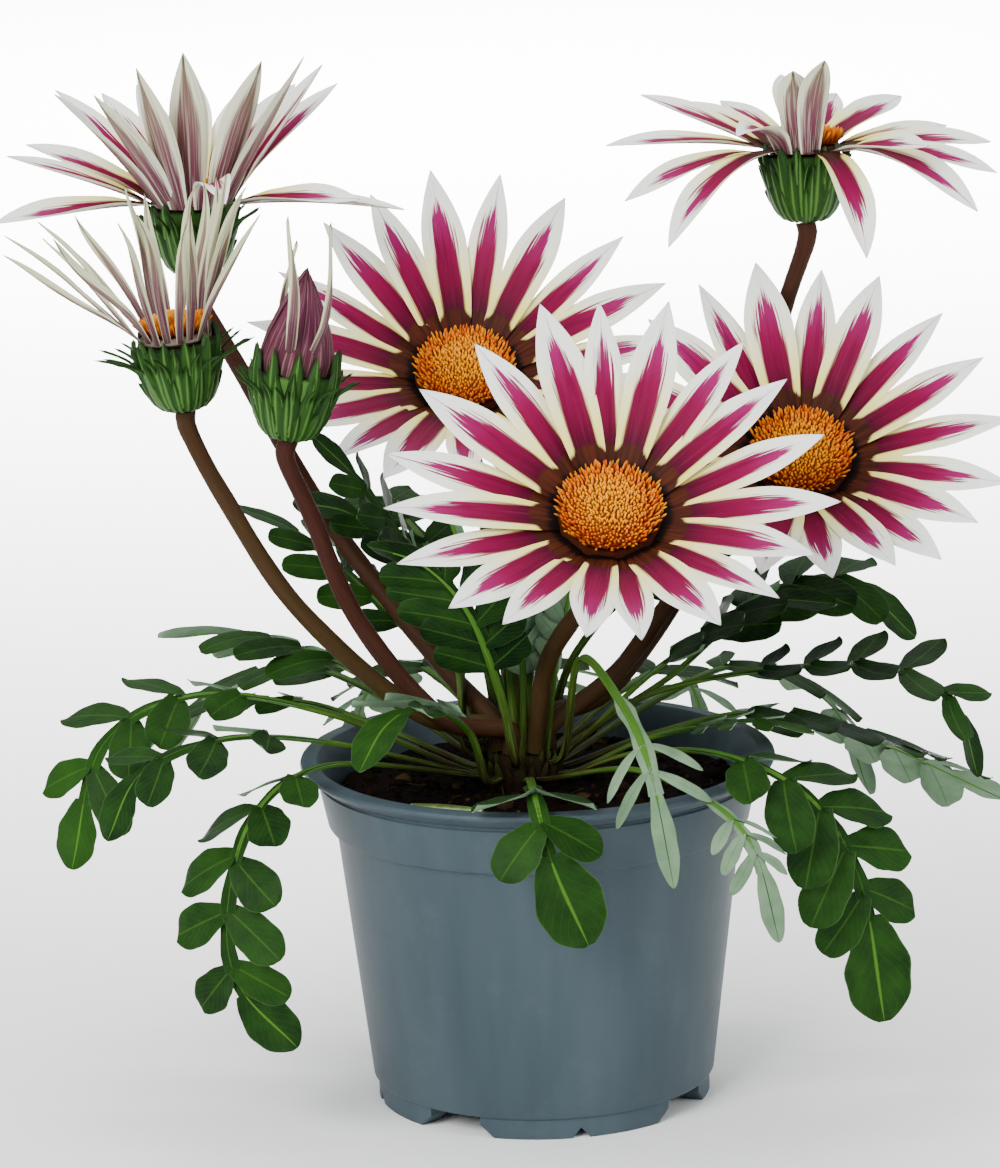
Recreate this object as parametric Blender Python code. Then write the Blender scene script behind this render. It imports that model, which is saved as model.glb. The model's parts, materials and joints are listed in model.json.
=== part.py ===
"""Gazania in a moulded nursery pot, built piece by piece for Blender 4.5.

Sizes below are in millimetres in the pot's own frame: the pot's axis is Z, its feet
stand on Z = 0, +X is to the right and +Y is away from the viewer. The finished plant
is moved by PLANT_SHIFT, so that the middle of its bounding box stands on the origin.
"""
import math
import random

import bmesh
import bpy
from mathutils import Matrix, Vector

MM = 0.001
PLANT_SHIFT = Vector((6.6, 0.5, 0.0))
CLEARANCE = 0.3
UP = Vector((0.0, 0.0, 1.0))

# The pot, sized as a 12 cm nursery pot.
POT_HEIGHT = 88.5
LIP_RADIUS = 60.0
LIP_INNER_RADIUS = 55.2
GROOVE_RADIUS = 55.9
BAND_RADIUS = 53.3
BAND_BOTTOM = 72.0
BODY_TOP_RADIUS = 51.2
BODY_BOTTOM_RADIUS = 43.4
FOOT_HEIGHT = 5.3
WALL = 1.4
FLOOR = 2.0
POT_SIDES = 36
FOOT_COUNT = 4
FOOT_SPAN = math.radians(70)
FOOT_TURN = math.radians(12)
FOOT_DEPTH = 7.0

# The soil and the crown that the plant grows from.
SOIL_TOP = 81.0
SOIL_BUMP = 0.8
CROWN_PLACE = Vector((-4.0, 2.0, 0.0))
CROWN_RADIUS = 10.0
CROWN_FOOT = 74.0
CROWN_TOP = 90.0
CROWN_STEM_RING = 6.4
# Young leaf stalks that rise from the crown's top: angle, distance from its middle, lean
# outward in degrees, height of the tip, and radius.
YOUNG_STALKS = (
    (271, 6.9, 9, 142, 1.0), (325, 7.2, 12, 136, 1.0), (73, 6.8, 10, 158, 1.0), (250, 2.5, 10, 150, 1.3),
    (310, 2.6, 6, 156, 1.3), (10, 2.6, 9, 156, 1.2), (70, 2.6, 7, 156, 1.1), (130, 2.6, 8, 155, 1.2),
    (190, 2.6, 13, 152, 1.2),
)

# Flower heads.
STEM_RADIUS = 2.2
DISC_HEIGHT = 5.5
DRUM_RIM = 2.2
DRUM_HEIGHT = 2.4
CUP_RADIUS = 11.0
CUP_HEIGHT = 17.0
CUP_BOTTOM_RADIUS = 3.0
CUP_COLUMNS = 16
PETAL_THICKNESS = 0.65
PETAL_SPREAD = ((0.0, 0.38), (0.26, 0.80), (0.60, 1.0), (1.0, 0.0))
BACK_PETAL = 0.86
ROOT = 1.8

# Leaves.
STALK_WIDTH = 2.3
STALK_THICKNESS = 1.5
BLADE_THICKNESS = 0.75
LOW_RING = 83.8
HIGH_RING = 87.6

GREEN = (0.060, 0.130, 0.045)
PALE_GREEN = (0.22, 0.32, 0.16)
POT_GREY = (0.115, 0.165, 0.190)


def head(name, place, elevation, facing, petals, turn, lift, sway, bend, reach, width, wild, tips, disc=12.3, odd=None):
    """One flower head: where its disc is, which way it looks, and the rule for its petals.
    disc is its disc's radius. odd gives the petals that leave the rule: their lift, their bend and their length's share."""
    return {
        "name": name, "place": Vector(place), "elevation": elevation, "facing": facing,
        "petals": petals, "turn": turn, "lift": lift, "sway": sway, "bend": bend,
        "reach": reach, "width": width, "wild": wild, "tips": tips, "disc": disc, "odd": odd or {},
    }


# Angles in degrees. lift is the petals' rise from the disc's plane, sway is how much more
# they rise at the front and back, bend is how they arch towards the tip, and wild is the
# seeded variation of the lift.
HEADS = (
    head("front", (18.6, -50, 161.8), 48.7, -90, 19, 14, 24, 6, -8, 56, 12.0, 2, 15.5),
    head("back_left", (-16.2, 52, 176.6), 51, -90, 19, 2, 26, 6, -8, 57.6, 11.9, 2, 15.5),
    head("right", (68.2, 15, 160.7), 48, -86, 19, 4, 24, 6, -8, 54, 12.0, 2, 15.5),
    head("top_right", (71.5, 45, 235.0), 85, 90, 18, -25, 14, 10, -8, 50, 11.0, 4, 12.5, 9.0,
         {0: (24, -6, 1.0), 1: (10, -16, 1.0), 2: (0, -30, 1.0), 3: (-8, -52, 1.0), 4: (56, -80, 0.55),
          5: (76, -30, 0.6), 6: (72, -46, 0.85), 7: (-12, -76, 0.9), 8: (12, -14, 0.8), 9: (0, -44, 1.05),
          10: (4, -26, 1.0), 11: (4, -10, 1.0)}),
    head("top_left", (-84.5, 52, 223.5), 87, 90, 20, 0, 42, 0, -12, 54, 11.0, 4, 16, 9.5,
         {0: (24, -8, 0.92), 1: (2, -10, 0.95), 2: (50, -8, 1.0), 3: (48, 0, 0.95), 4: (58, 0, 1.0),
          5: (73, 0, 1.0), 6: (64, -110, 0.6), 7: (60, 0, 1.0), 8: (54, 0, 1.1), 9: (8, -12, 0.8),
          10: (4, -14, 1.0), 11: (52, 0, 1.0), 19: (26, -8, 0.9)}),
    head("wilting", (-87.5, -6, 200.0), 84, 180, 20, 9, 66, 0, -14, 49, 3.8, 9, 18, 8.2,
         {3: (78, -20, 1.0), 4: (84, -30, 0.95), 5: (82, -10, 1.0), 6: (76, -24, 0.9), 12: (54, -10, 1.0),
          13: (46, 8, 1.0), 14: (40, 14, 1.05), 15: (44, -6, 1.05), 16: (50, 12, 0.95), 17: (58, -12, 1.0)}),
)
BUD = {"name": "bud", "place": Vector((-57.1, -15, 193.8)), "elevation": 82, "facing": 0, "tips": 15.5}
BUD_RADIUS = 9.6
BUD_HEIGHT = 22.5
BUD_RIDGES = 9

# Flower stems: where each leaves the crown's top (degrees), and the points it passes.
STEMS = (
    ("front", 300, ((4, -14, 118),)),
    ("back_left", 100, ((-8, 18, 120), (-12, 37, 145))),
    ("right", 350, ((21, 6, 108), (42, 15, 132))),
    ("top_right", 45, ((22, 16, 104), (54, 35, 150), (65, 44, 190))),
    ("top_left", 150, ((-24, 18, 108), (-52, 36, 142), (-74, 47, 180))),
    ("wilting", 205, ((-30, -4, 101), (-59, -6, 129), (-77, -4, 158))),
    ("bud", 246, ((-24, -10, 101), (-44, -12, 127), (-55, -14, 155))),
)


def leaf(name, ring, start, route, pairs, lobe, tip, bare, turn=0.0, fold=0.0, slim=1.0):
    """One leaf: the crown ring and angle it starts at, the points its rib passes, its
    pairs of side lobes, their length, the end lobe's length, the bare share of the stalk,
    how far the blade turns about its rib, how its lobes fold up, and how slim they are."""
    return {
        "name": name, "ring": ring, "start": start, "route": route, "pairs": pairs,
        "lobe": lobe, "tip": tip, "bare": bare, "turn": turn, "fold": fold, "slim": slim,
    }


LEAVES = (
    leaf("leaf_far_left", LOW_RING, 186, ((-52, -4, 101), (-84, -9, 108), (-108, -17, 98), (-117, -22, 67)),
         4, 19, 18, 0.44, -50, 0.0, 1.1),
    leaf("leaf_left", LOW_RING, 201, ((-52, -24, 99), (-77, -38, 104), (-97, -46, 98), (-106, -50, 82)),
         3, 17, 17, 0.5, -40, 0.0, 1.1),
    leaf("leaf_left_hanging", LOW_RING, 217, ((-52, -31, 95), (-70, -44, 86), (-77, -50, 64), (-75, -48, 44),
         (-61, -50, 28)), 5, 18, 19, 0.38, -70, 0.0, 1.2),
    leaf("leaf_front_left", LOW_RING, 235, ((-17, -14, 98), (-27, -26, 108), (-37, -36, 106), (-44, -43, 96)),
         2, 16, 21, 0.45, 0, 0.1, 1.2),
    leaf("leaf_front", LOW_RING, 276, ((-2, -28, 89), (-1, -60, 92.5), (3, -69, 78), (11, -68, 58)),
         2, 18, 25, 0.46, 0, 0.0, 1.25),
    leaf("leaf_front_low_right", LOW_RING, 297, ((23, -38, 94), (40, -60, 92), (51, -73, 83), (57, -76, 60)),
         3, 12, 20, 0.68, 20, -0.2, 0.6),
    leaf("leaf_right_hanging", LOW_RING, 318, ((25, -22, 94), (46, -38, 97), (66, -47, 88), (78, -51, 68),
         (84, -49, 31)), 5, 22, 28, 0.40, 66, 0.0, 1.1),
    leaf("leaf_right_serrated", LOW_RING, 338, ((26, -7, 93), (42, -13, 98), (55, -17, 100), (69, -20, 97)),
         3, 10, 11, 0.5, 0, 0.1, 1.0),
    leaf("leaf_far_right", LOW_RING, 12, ((30, 8, 91), (56, 14, 94), (86, 19, 85), (120, 20, 68)),
         6, 21, 16, 0.38, -40, 0.0, 1.2),
    leaf("leaf_back_right", LOW_RING, 35, ((30, 28, 94), (55, 45, 99), (78, 58, 84), (88, 64, 58)),
         4, 17, 20, 0.42),
    leaf("leaf_back_right_low", LOW_RING, 58, ((20, 38, 93), (36, 62, 94), (44, 80, 78), (46, 84, 50)),
         4, 16, 20, 0.42),
    leaf("leaf_back", LOW_RING, 84, ((-1, 40, 94), (2, 66, 95), (6, 84, 80), (8, 90, 54)),
         4, 17, 20, 0.42),
    leaf("leaf_back_left_low", LOW_RING, 112, ((-20, 40, 94), (-33, 62, 97), (-45, 80, 84), (-50, 86, 60)),
         4, 16, 20, 0.42),
    leaf("leaf_back_left", LOW_RING, 140, ((-36, 28, 95), (-60, 46, 101), (-82, 60, 92), (-96, 68, 72)),
         4, 17, 20, 0.42),
    leaf("leaf_back_far_left", LOW_RING, 163, ((-40, 14, 93), (-62, 22, 98), (-88, 32, 94), (-106, 38, 76)),
         4, 15, 18, 0.45),
    leaf("leaf_pale_front", HIGH_RING, 318, ((11, -20, 118), (21, -46, 112), (27, -64, 100), (32, -72, 73)),
         2, 15, 25, 0.66, 0, -0.4, 0.42),
    leaf("leaf_right_curled", HIGH_RING, 356, ((30, -1, 104), (62, 1, 109), (90, 2, 108), (105, 0, 99),
         (111, -2, 80)), 5, 17, 16, 0.4, 32, 0.3, 1),
    leaf("leaf_right_dark", HIGH_RING, 334, ((29, -5, 110), (44, -4, 120), (58, -3, 127), (76, -3, 126)),
         3, 19, 21, 0.42, 34, 0.0, 1.2),
    leaf("leaf_right_broad", HIGH_RING, 16, ((34, 14, 104), (58, 26, 121), (80, 31, 124), (98, 33, 108)),
         4, 20, 20, 0.42, 36, 0.0, 1.2),
    leaf("leaf_right_upright", HIGH_RING, 58, ((10, 22, 108), (28, 36, 126), (46, 44, 140), (62, 48, 147)),
         3, 17, 18, 0.48, 30, 0.0, 1.15),
    leaf("leaf_tall", HIGH_RING, 76, ((4, 26, 118), (20, 42, 150), (36, 54, 176)),
         4, 13, 14, 0.45, 0, 0.2, 1),
    leaf("leaf_left_pale", HIGH_RING, 175, ((-34, 8, 101), (-53, 14, 111), (-75, 18, 117), (-96, 20, 116)),
         3, 23, 24, 0.45, 30, -0.2, 0.75),
    leaf("leaf_left_raised", HIGH_RING, 130, ((-26, 24, 108), (-42, 36, 122), (-60, 46, 136), (-77, 50, 143)),
         4, 16, 18, 0.4, 24, 0.0, 1),
    leaf("leaf_left_high", HIGH_RING, 189, ((-20, 6, 112), (-30, 6, 138), (-42, 5, 157), (-55, 5, 171)),
         5, 15, 15, 0.4, -34, 0.1, 0.95),
    leaf("leaf_left_middle", HIGH_RING, 162, ((-20, 12.2, 117.5), (-33, 22.5, 134.5), (-46, 28, 145), (-61, 30, 148)),
         3, 13.5, 17, 0.48, -30, 0.1, 1.15),
    leaf("leaf_left_front", HIGH_RING, 262, ((-9, -16, 108), (-16, -22, 130), (-27, -26, 144), (-41, -28, 150)),
         5, 17, 18, 0.36, -32, 0.0, 1.15),
    leaf("leaf_back_upright", HIGH_RING, 92, ((-2, 24, 112), (-1, 52, 138), (4, 80, 148), (8, 98, 136)),
         4, 15, 18, 0.5),
    leaf("leaf_back_upright_left", HIGH_RING, 114, ((-14, 26, 110), (-30, 56, 134), (-44, 78, 138), (-52, 92, 122)),
         4, 15, 18, 0.5),
)
LOBE_TWIST = math.tan(math.radians(13))


def clear_scene():
    for thing in list(bpy.data.objects):
        bpy.data.objects.remove(thing, do_unlink=True)


def finish_material(name, colour, roughness):
    material = bpy.data.materials.new(name)
    material.use_nodes = True
    shader = material.node_tree.nodes["Principled BSDF"]
    shader.inputs["Base Color"].default_value = (*colour, 1.0)
    shader.inputs["Roughness"].default_value = roughness
    shader.inputs["Metallic"].default_value = 0.0
    return material


def add_piece(name, points, faces, colour, roughness, smooth=False):
    """A mesh object from points in millimetres, shifted to the plant's place."""
    mesh = bpy.data.meshes.new(name)
    mesh.from_pydata([(point + PLANT_SHIFT) * MM for point in points], [], faces)
    mesh.materials.append(finish_material(name, colour, roughness))
    piece = bpy.data.objects.new(name, mesh)
    bpy.context.collection.objects.link(piece)
    if smooth:
        mesh.shade_smooth()
        mesh.set_sharp_from_angle(angle=math.radians(40))
    return piece


def fuse(name, pieces, colour, roughness):
    """One Boolean union of the pieces, applied, as a new object; the pieces are removed."""
    parts = bpy.data.collections.new(name + "_parts")
    bpy.context.scene.collection.children.link(parts)
    for piece in pieces[1:]:
        bpy.context.collection.objects.unlink(piece)
        parts.objects.link(piece)
    body = pieces[0]
    union = body.modifiers.new("join", "BOOLEAN")
    union.operation = "UNION"
    union.operand_type = "COLLECTION"
    union.collection = parts
    union.solver = "MANIFOLD"
    bpy.context.view_layer.update()
    evaluated = body.evaluated_get(bpy.context.evaluated_depsgraph_get())
    mesh = bpy.data.meshes.new_from_object(evaluated)
    mesh.name = name
    mesh.materials.clear()
    mesh.materials.append(finish_material(name, colour, roughness))
    for piece in pieces:
        bpy.data.objects.remove(piece, do_unlink=True)
    bpy.data.collections.remove(parts)
    joined = bpy.data.objects.new(name, mesh)
    bpy.context.collection.objects.link(joined)
    return joined


def polar(radius, angle, height):
    return Vector((radius * math.cos(angle), radius * math.sin(angle), height))


def catmull(points, share):
    """A point on the smooth curve through the points, at a share of their count."""
    last = len(points) - 1
    place = min(max(share, 0.0), 1.0) * last
    index = min(int(place), last - 1)
    t = place - index
    before = points[index - 1] if index > 0 else points[0] * 2 - points[1]
    after = points[index + 2] if index + 2 <= last else points[last] * 2 - points[last - 1]
    start, end = points[index], points[index + 1]
    a = (start * 2)
    b = (end - before) * t
    c = (before * 2 - start * 5 + end * 4 - after) * t * t
    d = (start * 3 - before - end * 3 + after) * t * t * t
    return (a + b + c + d) * 0.5


class Rib:
    """A smooth curve measured by length, with a side and a normal that don't twist."""

    def __init__(self, points, first_normal, steps=96):
        self.points = [catmull(points, step / steps) for step in range(steps + 1)]
        self.lengths = [0.0]
        for before, after in zip(self.points, self.points[1:]):
            self.lengths.append(self.lengths[-1] + (after - before).length)
        self.length = self.lengths[-1]
        self.normals = []
        normal = first_normal
        for index in range(steps + 1):
            tangent = self.tangent_at(index)
            normal = (normal - tangent * normal.dot(tangent)).normalized()
            self.normals.append(normal)

    def tangent_at(self, index):
        low = max(index - 1, 0)
        high = min(index + 1, len(self.points) - 1)
        return (self.points[high] - self.points[low]).normalized()

    def frame(self, distance):
        """Place, tangent, side and normal at a distance along the curve."""
        index = 0
        while index < len(self.lengths) - 2 and self.lengths[index + 1] < distance:
            index += 1
        span = self.lengths[index + 1] - self.lengths[index]
        t = (distance - self.lengths[index]) / span
        place = self.points[index].lerp(self.points[index + 1], t)
        tangent = self.tangent_at(index).lerp(self.tangent_at(index + 1), t).normalized()
        normal = self.normals[index].lerp(self.normals[index + 1], t)
        normal = (normal - tangent * normal.dot(tangent)).normalized()
        return place, tangent, tangent.cross(normal), normal


def thicken(name, points, normals, depths, triangles, colour, roughness):
    """A closed blade from one sheet: the same triangles on both faces, and a wall between."""
    count = len(points)
    solid = [p + n * d / 2 for p, n, d in zip(points, normals, depths)]
    solid += [p - n * d / 2 for p, n, d in zip(points, normals, depths)]
    faces = [tuple(triangle) for triangle in triangles]
    faces += [(c + count, b + count, a + count) for a, b, c in triangles]
    edges = {}
    for a, b, c in triangles:
        for edge in ((a, b), (b, c), (c, a)):
            edges[edge] = True
    for a, b in edges:
        if (b, a) not in edges:
            faces.append((b, a, a + count))
            faces.append((b, a + count, b + count))
    return add_piece(name, solid, faces, colour, roughness)


def lathe(profile, sides, wave=None):
    """Points and faces of a closed turned body; the profile starts and ends on the axis."""
    points = [Vector((0, 0, profile[0][1]))]
    rings = profile[1:-1]
    for row, (radius, height) in enumerate(rings):
        for column in range(sides):
            angle = 2 * math.pi * column / sides
            grow, rise = wave(row, column) if wave else (0.0, 0.0)
            points.append(polar(radius + grow, angle, height + rise))
    points.append(Vector((0, 0, profile[-1][1])))
    faces = []
    for column in range(sides):
        after = (column + 1) % sides
        faces.append((0, 1 + after, 1 + column))
        for row in range(len(rings) - 1):
            low, high = 1 + row * sides, 1 + (row + 1) * sides
            faces.append((low + column, low + after, high + column))
            faces.append((low + after, high + after, high + column))
        top = 1 + (len(rings) - 1) * sides
        faces.append((top + column, top + after, len(points) - 1))
    return points, faces


def head_frame(flower):
    """The head's turn: local Z is the way the flower looks."""
    elevation = math.radians(flower["elevation"])
    facing = math.radians(flower["facing"])
    normal = Vector((math.cos(elevation) * math.cos(facing), math.cos(elevation) * math.sin(facing),
                     math.sin(elevation)))
    across = UP.cross(normal).normalized()
    return Matrix((across, normal.cross(across), normal)).transposed()


def make_pot():
    """The turned pot, its floor raised on feet, hollow above."""
    body = (
        (0.0, FOOT_HEIGHT), (BODY_BOTTOM_RADIUS - 1.0, FOOT_HEIGHT), (BODY_BOTTOM_RADIUS, FOOT_HEIGHT + 1.0),
        (BODY_TOP_RADIUS, BAND_BOTTOM - 0.8), (BAND_RADIUS, BAND_BOTTOM + 0.4),
        (GROOVE_RADIUS - 0.2, POT_HEIGHT - 5.0), (GROOVE_RADIUS - 0.7, POT_HEIGHT - 4.4),
        (GROOVE_RADIUS + 0.3, POT_HEIGHT - 3.9), (LIP_RADIUS - 0.6, POT_HEIGHT - 1.8),
        (LIP_RADIUS, POT_HEIGHT - 1.2), (LIP_RADIUS - 0.6, POT_HEIGHT),
        (LIP_INNER_RADIUS, POT_HEIGHT), (GROOVE_RADIUS - 3.0, POT_HEIGHT - 5.0),
        (BAND_RADIUS - WALL - 1.2, BAND_BOTTOM), (BODY_BOTTOM_RADIUS - WALL, FOOT_HEIGHT + FLOOR),
        (0.0, FOOT_HEIGHT + FLOOR),
    )
    points, faces = lathe(body, POT_SIDES)
    shell = add_piece("pot_shell", points, faces, POT_GREY, 0.5)
    pieces = [shell]
    for number in range(FOOT_COUNT):
        middle = -math.pi / 2 + FOOT_TURN + number * 2 * math.pi / FOOT_COUNT
        pieces.append(make_foot(number, middle))
    pot = fuse("pot", pieces, POT_GREY, 0.5)
    pot.data.shade_smooth()
    pot.data.set_sharp_from_angle(angle=math.radians(30))
    return pot


def make_foot(number, middle):
    """A curved wall segment under the floor, with slanted ends and a small notch."""
    inner = BODY_BOTTOM_RADIUS - FOOT_DEPTH
    outer = BODY_BOTTOM_RADIUS - 1.2
    top = FOOT_HEIGHT + 0.8
    half = FOOT_SPAN / 2
    notch = math.radians(3.2)
    lows = ((-half, 3.0), (-half + math.radians(5), 0.0), (-half / 2, 0.0), (-notch, 0.0), (0.0, 2.6),
            (notch, 0.0), (half / 2, 0.0), (half - math.radians(5), 0.0), (half, 3.0))
    points = []
    for turn, low in lows:
        angle = middle + turn
        points += [polar(inner, angle, low), polar(outer, angle, low),
                   polar(outer, angle, top), polar(inner, angle, top)]
    faces = [(0, 1, 2, 3)]
    for step in range(len(lows) - 1):
        base = 4 * step
        for side in range(4):
            after = (side + 1) % 4
            faces.append((base + side, base + 4 + side, base + 4 + after, base + after))
    last = 4 * (len(lows) - 1)
    faces.append((last + 3, last + 2, last + 1, last))
    return add_piece("pot_foot_%d" % number, points, faces, POT_GREY, 0.5)


def make_soil():
    """The soil fills the pot and leaves a plain round hole for the crown."""
    rng = random.Random(11)
    sides = 28
    gap = CLEARANCE + 0.1
    reach = LIP_INNER_RADIUS - 4.6
    hole = CROWN_RADIUS + gap
    rings = (
        (hole, CROWN_FOOT - gap), (BODY_BOTTOM_RADIUS - WALL - 1.0, FOOT_HEIGHT + FLOOR + gap),
        (BODY_TOP_RADIUS - WALL - 1.6, BAND_BOTTOM - 1.0), (reach, SOIL_TOP - 0.8),
        (reach * 0.72, SOIL_TOP), (reach * 0.45, SOIL_TOP), (hole, SOIL_TOP - 0.6),
    )
    points = [Vector((0, 0, FOOT_HEIGHT + FLOOR + gap))]
    for row, (radius, height) in enumerate(rings[1:]):
        for column in range(sides):
            angle = 2 * math.pi * column / sides
            bump = rng.uniform(-SOIL_BUMP, SOIL_BUMP) if 3 <= row + 1 <= 5 else 0.0
            centre = CROWN_PLACE if row == len(rings) - 2 else Vector()
            points.append(centre + polar(radius, angle, height + bump))
    for column in range(sides):
        points.append(CROWN_PLACE + polar(hole, 2 * math.pi * column / sides, CROWN_FOOT - gap))
    points.append(CROWN_PLACE + Vector((0, 0, CROWN_FOOT - gap)))
    rows = len(rings)
    faces = []
    for column in range(sides):
        after = (column + 1) % sides
        faces.append((0, 1 + after, 1 + column))
        for row in range(rows - 1):
            low, high = 1 + row * sides, 1 + (row + 1) * sides
            faces.append((low + column, low + after, high + column))
            faces.append((low + after, high + after, high + column))
        top = 1 + (rows - 1) * sides
        faces.append((top + column, top + after, len(points) - 1))
    return add_piece("soil", points, faces, (0.030, 0.020, 0.014), 0.95)


def make_crown():
    """The short rootstock, standing in the soil's hole, with the young leaf stalks on its top."""
    profile = ((0.0, CROWN_FOOT), (CROWN_RADIUS - 0.6, CROWN_FOOT), (CROWN_RADIUS, SOIL_TOP),
               (CROWN_RADIUS, CROWN_TOP - 2.0), (CROWN_RADIUS - 1.0, CROWN_TOP), (0.0, CROWN_TOP))
    points, faces = lathe(profile, 24)
    points = [point + CROWN_PLACE for point in points]
    colour = (0.10, 0.13, 0.05)
    pieces = [add_piece("rootstock", points, faces, colour, 0.8)]
    for number, shape in enumerate(YOUNG_STALKS):
        pieces.append(make_young_stalk("young_stalk_%d" % number, shape, colour))
    crown = fuse("crown", pieces, colour, 0.8)
    crown.data.shade_smooth()
    crown.data.set_sharp_from_angle(angle=math.radians(40))
    return crown


def make_young_stalk(name, shape, colour):
    """A thin stalk with its foot sunk in the crown's top, leaning out as it rises."""
    start, ring, lean, top, radius = shape
    angle = math.radians(start)
    outward = Vector((math.cos(angle), math.sin(angle), 0))
    foot = CROWN_PLACE + polar(ring, angle, CROWN_TOP - 2.0)
    rise = top - foot.z
    rows = ((0.0, 1.0), (0.45, 0.95), (1.0, 0.5))
    sides = 4
    solid = [foot]
    for share, wide in rows:
        middle = foot + UP * (rise * share) + outward * (rise * math.tan(math.radians(lean)) * share ** 1.4)
        for column in range(sides):
            solid.append(middle + polar(radius * wide, 2 * math.pi * column / sides, 0))
    solid.append(middle)
    return close_tube(name, solid, sides, len(rows), colour, 0.8)


def make_cut_petiole():
    """A pale cut leaf stalk lying on the soil at the front left."""
    start, end = Vector((-32, -28, SOIL_TOP + 2.4)), Vector((-14, -33, SOIL_TOP + 2.2))
    along = (end - start).normalized()
    side = along.cross(UP).normalized()
    rise = side.cross(along)
    sides = 6
    points = [start]
    for share, radius in ((0.0, 1.0), (0.5, 1.3), (1.0, 1.1)):
        middle = start.lerp(end, share)
        for column in range(sides):
            angle = 2 * math.pi * (column + 0.5) / sides
            points.append(middle + side * radius * math.cos(angle) + rise * radius * math.sin(angle))
    points.append(end)
    faces = []
    for column in range(sides):
        after = (column + 1) % sides
        faces.append((0, 1 + column, 1 + after))
        for row in range(2):
            low, high = 1 + row * sides, 1 + (row + 1) * sides
            faces.append((low + column, high + column, low + after))
            faces.append((low + after, high + column, high + after))
        top = 1 + 2 * sides
        faces.append((top + column, len(points) - 1, top + after))
    return add_piece("cut_petiole", points, faces, PALE_GREEN, 0.6, smooth=True)


def make_stem(flower, start, route):
    """A smooth round stem from the crown's top to the underside of the head's cup."""
    turn = head_frame(flower)
    foot = flower["place"] + turn @ Vector((0, 0, -DRUM_HEIGHT - CUP_HEIGHT - 2 * CLEARANCE - 0.1))
    angle = math.radians(start)
    first = CROWN_PLACE + polar(CROWN_STEM_RING, angle, CROWN_TOP + CLEARANCE)
    second = first + Vector((math.cos(angle) * 1.8, math.sin(angle) * 1.6, 6.0))
    before = foot + turn @ Vector((0, 0, -5.0))
    points = [first, second] + [Vector(point) for point in route] + [before, foot]
    rib = Rib(points, Vector((0, 1, 0)))
    sides, rows = 6, 10
    solid = [rib.frame(0.0)[0]]
    for row in range(rows):
        place, tangent, side, normal = rib.frame(rib.length * row / (rows - 1))
        if row == 0:
            tangent = UP
        if row == rows - 1:
            tangent = turn.col[2]
        normal = (normal - tangent * normal.dot(tangent)).normalized()
        side = tangent.cross(normal)
        for column in range(sides):
            around = 2 * math.pi * column / sides
            solid.append(place + (side * math.cos(around) + normal * math.sin(around)) * STEM_RADIUS)
    solid.append(rib.frame(rib.length)[0])
    return close_tube("stem_" + flower["name"], solid, sides, rows, (0.13, 0.075, 0.04), 0.6)


def close_tube(name, solid, sides, rows, colour, roughness):
    """Faces for a tube of rings between two end points, turned outward."""
    faces = []
    for column in range(sides):
        after = (column + 1) % sides
        faces.append((0, 1 + after, 1 + column))
        for row in range(rows - 1):
            low, high = 1 + row * sides, 1 + (row + 1) * sides
            faces.append((low + column, low + after, high + column))
            faces.append((low + after, high + after, high + column))
        top = 1 + (rows - 1) * sides
        faces.append((top + column, top + after, len(solid) - 1))
    piece = add_piece(name, solid, faces, colour, roughness)
    mesh = bmesh.new()
    mesh.from_mesh(piece.data)
    if mesh.calc_volume(signed=True) < 0:
        bmesh.ops.reverse_faces(mesh, faces=mesh.faces)
    mesh.to_mesh(piece.data)
    mesh.free()
    piece.data.shade_smooth()
    piece.data.set_sharp_from_angle(angle=math.radians(65))
    return piece


def petal_route(flower, number, rng):
    """Points of one petal's midline and its side direction, in the head's frame."""
    step = 2 * math.pi / flower["petals"]
    wobble = rng.uniform(-0.10, 0.10) * step
    angle = math.radians(flower["turn"]) + number * step + wobble
    sway = flower["sway"] * math.cos(2 * angle) * -1.0
    lift = flower["lift"] + sway + rng.uniform(-1, 1) * flower["wild"]
    bend = flower["bend"]
    drum = flower["disc"] + DRUM_RIM
    length = (flower["reach"] - drum) * rng.uniform(0.95, 1.04)
    if number in flower["odd"]:
        lift, bend, share = flower["odd"][number]
        length *= share
    layer = -0.95 if number % 2 else -1.8
    outward = Vector((math.cos(angle), math.sin(angle), 0))
    side = Vector((-math.sin(angle), math.cos(angle), 0))
    point = outward * (drum - ROOT) + Vector((0, 0, layer))
    route = [point]
    length += ROOT
    steps = 12
    for index in range(steps):
        share = (index + 0.5) / steps
        rise = math.radians(lift + bend * share)
        point = point + (outward * math.cos(rise) + UP * math.sin(rise)) * (length / steps)
        route.append(point)
    return route, side


def make_petals(flower):
    """Two alternating layers of petals, sunk in a thin drum under the disc."""
    rng = random.Random(flower["name"])
    turn = head_frame(flower)
    colour = (0.62, 0.55, 0.50) if flower["name"] != "wilting" else (0.55, 0.50, 0.42)
    drum = flower["disc"] + DRUM_RIM
    points, faces = lathe(((0, -DRUM_HEIGHT), (drum - 0.3, -DRUM_HEIGHT), (drum, -0.3),
                           (drum - 0.3, 0), (0, 0)), 16)
    pieces = [add_piece("drum", [flower["place"] + turn @ p for p in points], faces, colour, 0.6)]
    for number in range(flower["petals"]):
        route, side = petal_route(flower, number, rng)
        wide = flower["width"] * (1.0 if number % 2 else BACK_PETAL)
        pieces.append(make_petal(flower, route, side, turn, wide, colour))
    return fuse("petals_" + flower["name"], pieces, colour, 0.6)


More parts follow.
